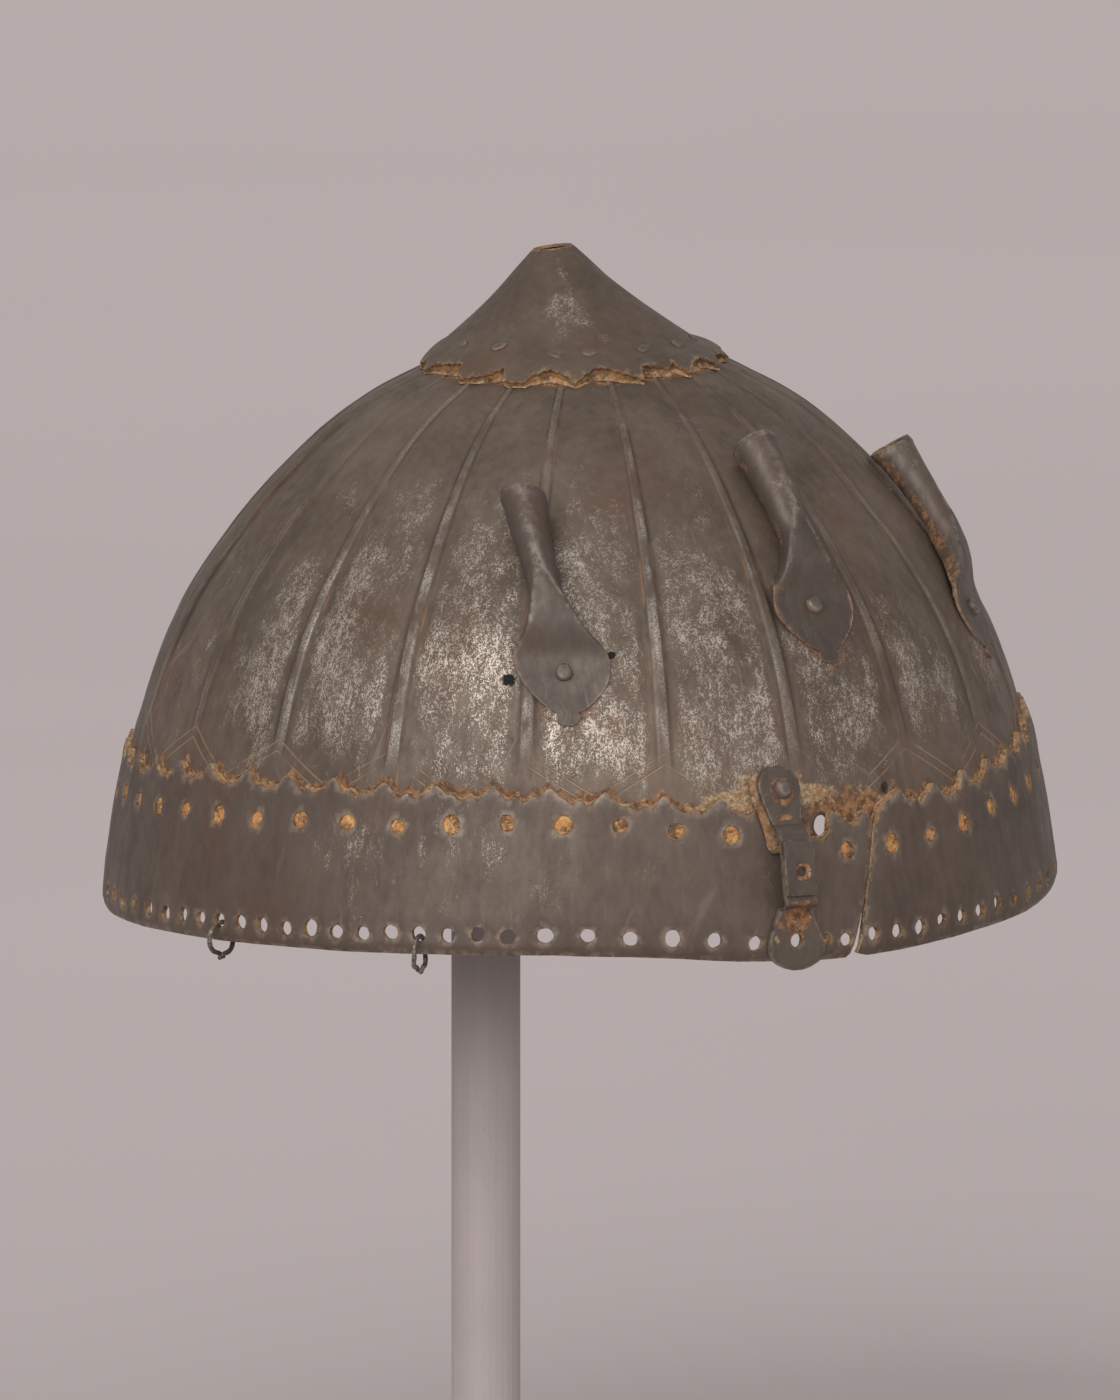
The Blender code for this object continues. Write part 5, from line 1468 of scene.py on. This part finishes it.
# Wire rings
def build_rings():
    """Two open wire rings left in the lower row of holes."""
    mat = iron("ring_wire_rust", (0.060, 0.046, 0.036), (0.130, 0.105, 0.080), ("speck", "rust"), scratch=0.3,
               speck=0.3, rust=0.42)
    middle, wire, sides = 3.7, 0.58, 12
    slack = 1.6 * math.cos(math.pi / 6) - 0.6 - GAP
    for number, angle in enumerate(RING_ANGLES, 1):
        z = band_line(angle, 1) + RING_HOLE
        centre = polar(angle, band_radius(z) - BAND_WALL / 2, z - slack - middle)
        path = []
        for a in np.linspace(-197, 197, 72):
            step = 0.75 * (1 if a > 0 else -1) * ease((abs(a) - 90.0) / 70.0)
            flare = 1.25 * ease((abs(a) - 172.0) / 25.0) ** 1.5
            r = middle + flare + 0.06 * math.sin(3 * math.radians(a) + angle)
            t = math.radians(a)
            path.append(centre + turn(angle, step, -r * math.sin(t), r * math.cos(t)) * MM)
        verts = []
        for i, p in enumerate(path):
            ahead = (path[min(i + 1, len(path) - 1)] - path[max(i - 1, 0)]).normalized()
            side = turn(angle, 1, 0, 0)
            side = (side - ahead * side.dot(ahead)).normalized()
            other = ahead.cross(side)
            thin = wire * (1 - 0.22 * math.exp(-min(i, len(path) - 1 - i) / 1.2) + 0.05 * math.sin(i * 0.9))
            for k in range(sides):
                b = 2 * math.pi * k / sides
                verts.append(p + (side * math.cos(b) + other * math.sin(b)) * thin * MM)
        faces = list(grid_faces(len(path), sides))
        faces.append(tuple(range(sides))[::-1])
        faces.append(tuple(range((len(path) - 1) * sides, len(path) * sides)))
        new_piece("mail_ring_%d_wire" % number, verts, faces, mat, body="ring_%d" % number, slot="ring_wire",
                  replaces=("mail_ring_%d" % number,), outward=True)


# Stand
STAND_GREY = (0.475, 0.410, 0.402)


def build_stand():
    """Grey paint on the post, the base and the pad, with painted shadow where they go up under the helmet."""
    for node, shade in (("stand_post", 1.0), ("stand_base", 0.96), ("stand_pad", 0.85)):
        m = Nodes(node + "_paint")
        fine = m.noise(900, 3, 0.6)
        streak = m.noise(160, 4, 0.6, stretch=(1, 1, 0.06))
        tone = m.plus(m.times(m.noise(30, 4, 0.55), 0.5), m.times(streak, 0.5))
        colour = m.mix(m.span(tone, 0.35, 0.65), tinted(STAND_GREY, (shade,) * 3),
                       tinted((0.530, 0.460, 0.452), (shade,) * 3))
        chips = m.times(m.span(m.noise(260, 5, 0.7), 0.66, 0.70), 0.35)
        colour = m.mix(chips, colour, tinted(STAND_GREY, (shade * 0.78,) * 3))
        # painted shadow: darker where the post goes up under the helmet
        up = m.add('ShaderNodeSeparateXYZ', {0: m.coords()}).outputs["Z"]
        colour = m.mix(m.times(m.span(up, 0.100, 0.138), 0.44), colour, (0.060, 0.052, 0.050))
        height = m.plus(m.times(fine, 0.6), m.times(streak, 0.4))
        mat = m.finish(colour, m.span(tone, 0.3, 0.7, 0.60, 0.50), 0.0, m.bump(height, 0.0001, 0.5))
        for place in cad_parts[node].material_slots:
            place.material = mat


# Floor, light and camera
FLOOR_R, FLOOR_SIDES = 18.0, 96
TO_CAMERA, TO_RIGHT = Vector((-0.4509, -0.8926, 0.0)), Vector((0.8926, -0.4509, 0.0))
CAMERA_RISE, CAMERA_AWAY = math.radians(7.3), 10.0
AIM = AXIS + Vector((-0.004455, 0.00227, 0.04617))
SUNS = (("key", 1.0, -0.45, 0.60, 50, 1.45), ("fill", 1.0, 0.75, 0.35, 70, 0.55),
        ("top", -0.15, -0.1, 1.0, 60, 0.10))


def build_floor():
    m = Nodes("paper_floor")
    colour = m.mix(m.span(m.noise(1.1, 3, 0.5), 0.35, 0.65), (0.650, 0.567, 0.560), (0.682, 0.595, 0.588))
    mesh = bpy.data.meshes.new("floor")
    turns = [2 * math.pi * k / FLOOR_SIDES for k in range(FLOOR_SIDES)]
    mesh.from_pydata([(FLOOR_R * math.cos(a), FLOOR_R * math.sin(a), 0.0) for a in turns], [],
                     [tuple(range(FLOOR_SIDES))])
    floor = add_object("floor", mesh)
    mesh.materials.append(m.finish(colour, 0.95, 0.0, m.bump(m.noise(160, 3, 0.6), 0.0002, 0.2)))


def build_world():
    world = bpy.data.worlds.new("studio")
    world.use_nodes = True
    nodes, links = world.node_tree.nodes, world.node_tree.links
    nodes["Background"].inputs["Color"].default_value = (1.0, 0.985, 0.98, 1.0)
    nodes["Background"].inputs["Strength"].default_value = 0.38
    # seen past the floor's edge, the surroundings have the floor's tone
    seen, mix = nodes.new('ShaderNodeBackground'), nodes.new('ShaderNodeMixShader')
    seen.inputs["Color"].default_value = (0.458, 0.402, 0.396, 1.0)
    links.new(nodes.new('ShaderNodeLightPath').outputs["Is Camera Ray"], mix.inputs[0])
    links.new(nodes["Background"].outputs[0], mix.inputs[1])
    links.new(seen.outputs[0], mix.inputs[2])
    links.new(mix.outputs[0], nodes["World Output"].inputs["Surface"])
    bpy.context.scene.world = world
    bpy.context.scene.view_settings.view_transform = 'Standard'


def build_suns():
    for name, ahead, across, up, spread, strength in SUNS:
        lamp = bpy.data.lights.new(name, 'SUN')
        lamp.energy = strength
        lamp.angle = math.radians(spread)
        source = TO_CAMERA * ahead + TO_RIGHT * across + Vector((0, 0, up))
        add_object(name, lamp).rotation_euler = source.to_track_quat('Z', 'Y').to_euler()


def build_camera():
    cam = bpy.data.cameras.new("camera")
    cam.sensor_width = 36.0
    cam.lens = 1078.0
    cam.clip_start = 0.1
    cam.clip_end = 60.0
    obj = add_object("camera", cam)
    toward = TO_CAMERA * math.cos(CAMERA_RISE) + Vector((0, 0, math.sin(CAMERA_RISE)))
    obj.location = AIM + toward * CAMERA_AWAY
    obj.rotation_euler = toward.to_track_quat('Z', 'Y').to_euler()
    bpy.context.scene.camera = obj


build_floor()
build_world()
build_suns()
build_camera()
build_stand()
build_bowl()
HOLES = build_band()
build_finial()
build_sockets()
build_bracket()
build_crust(HOLES)
build_rings()
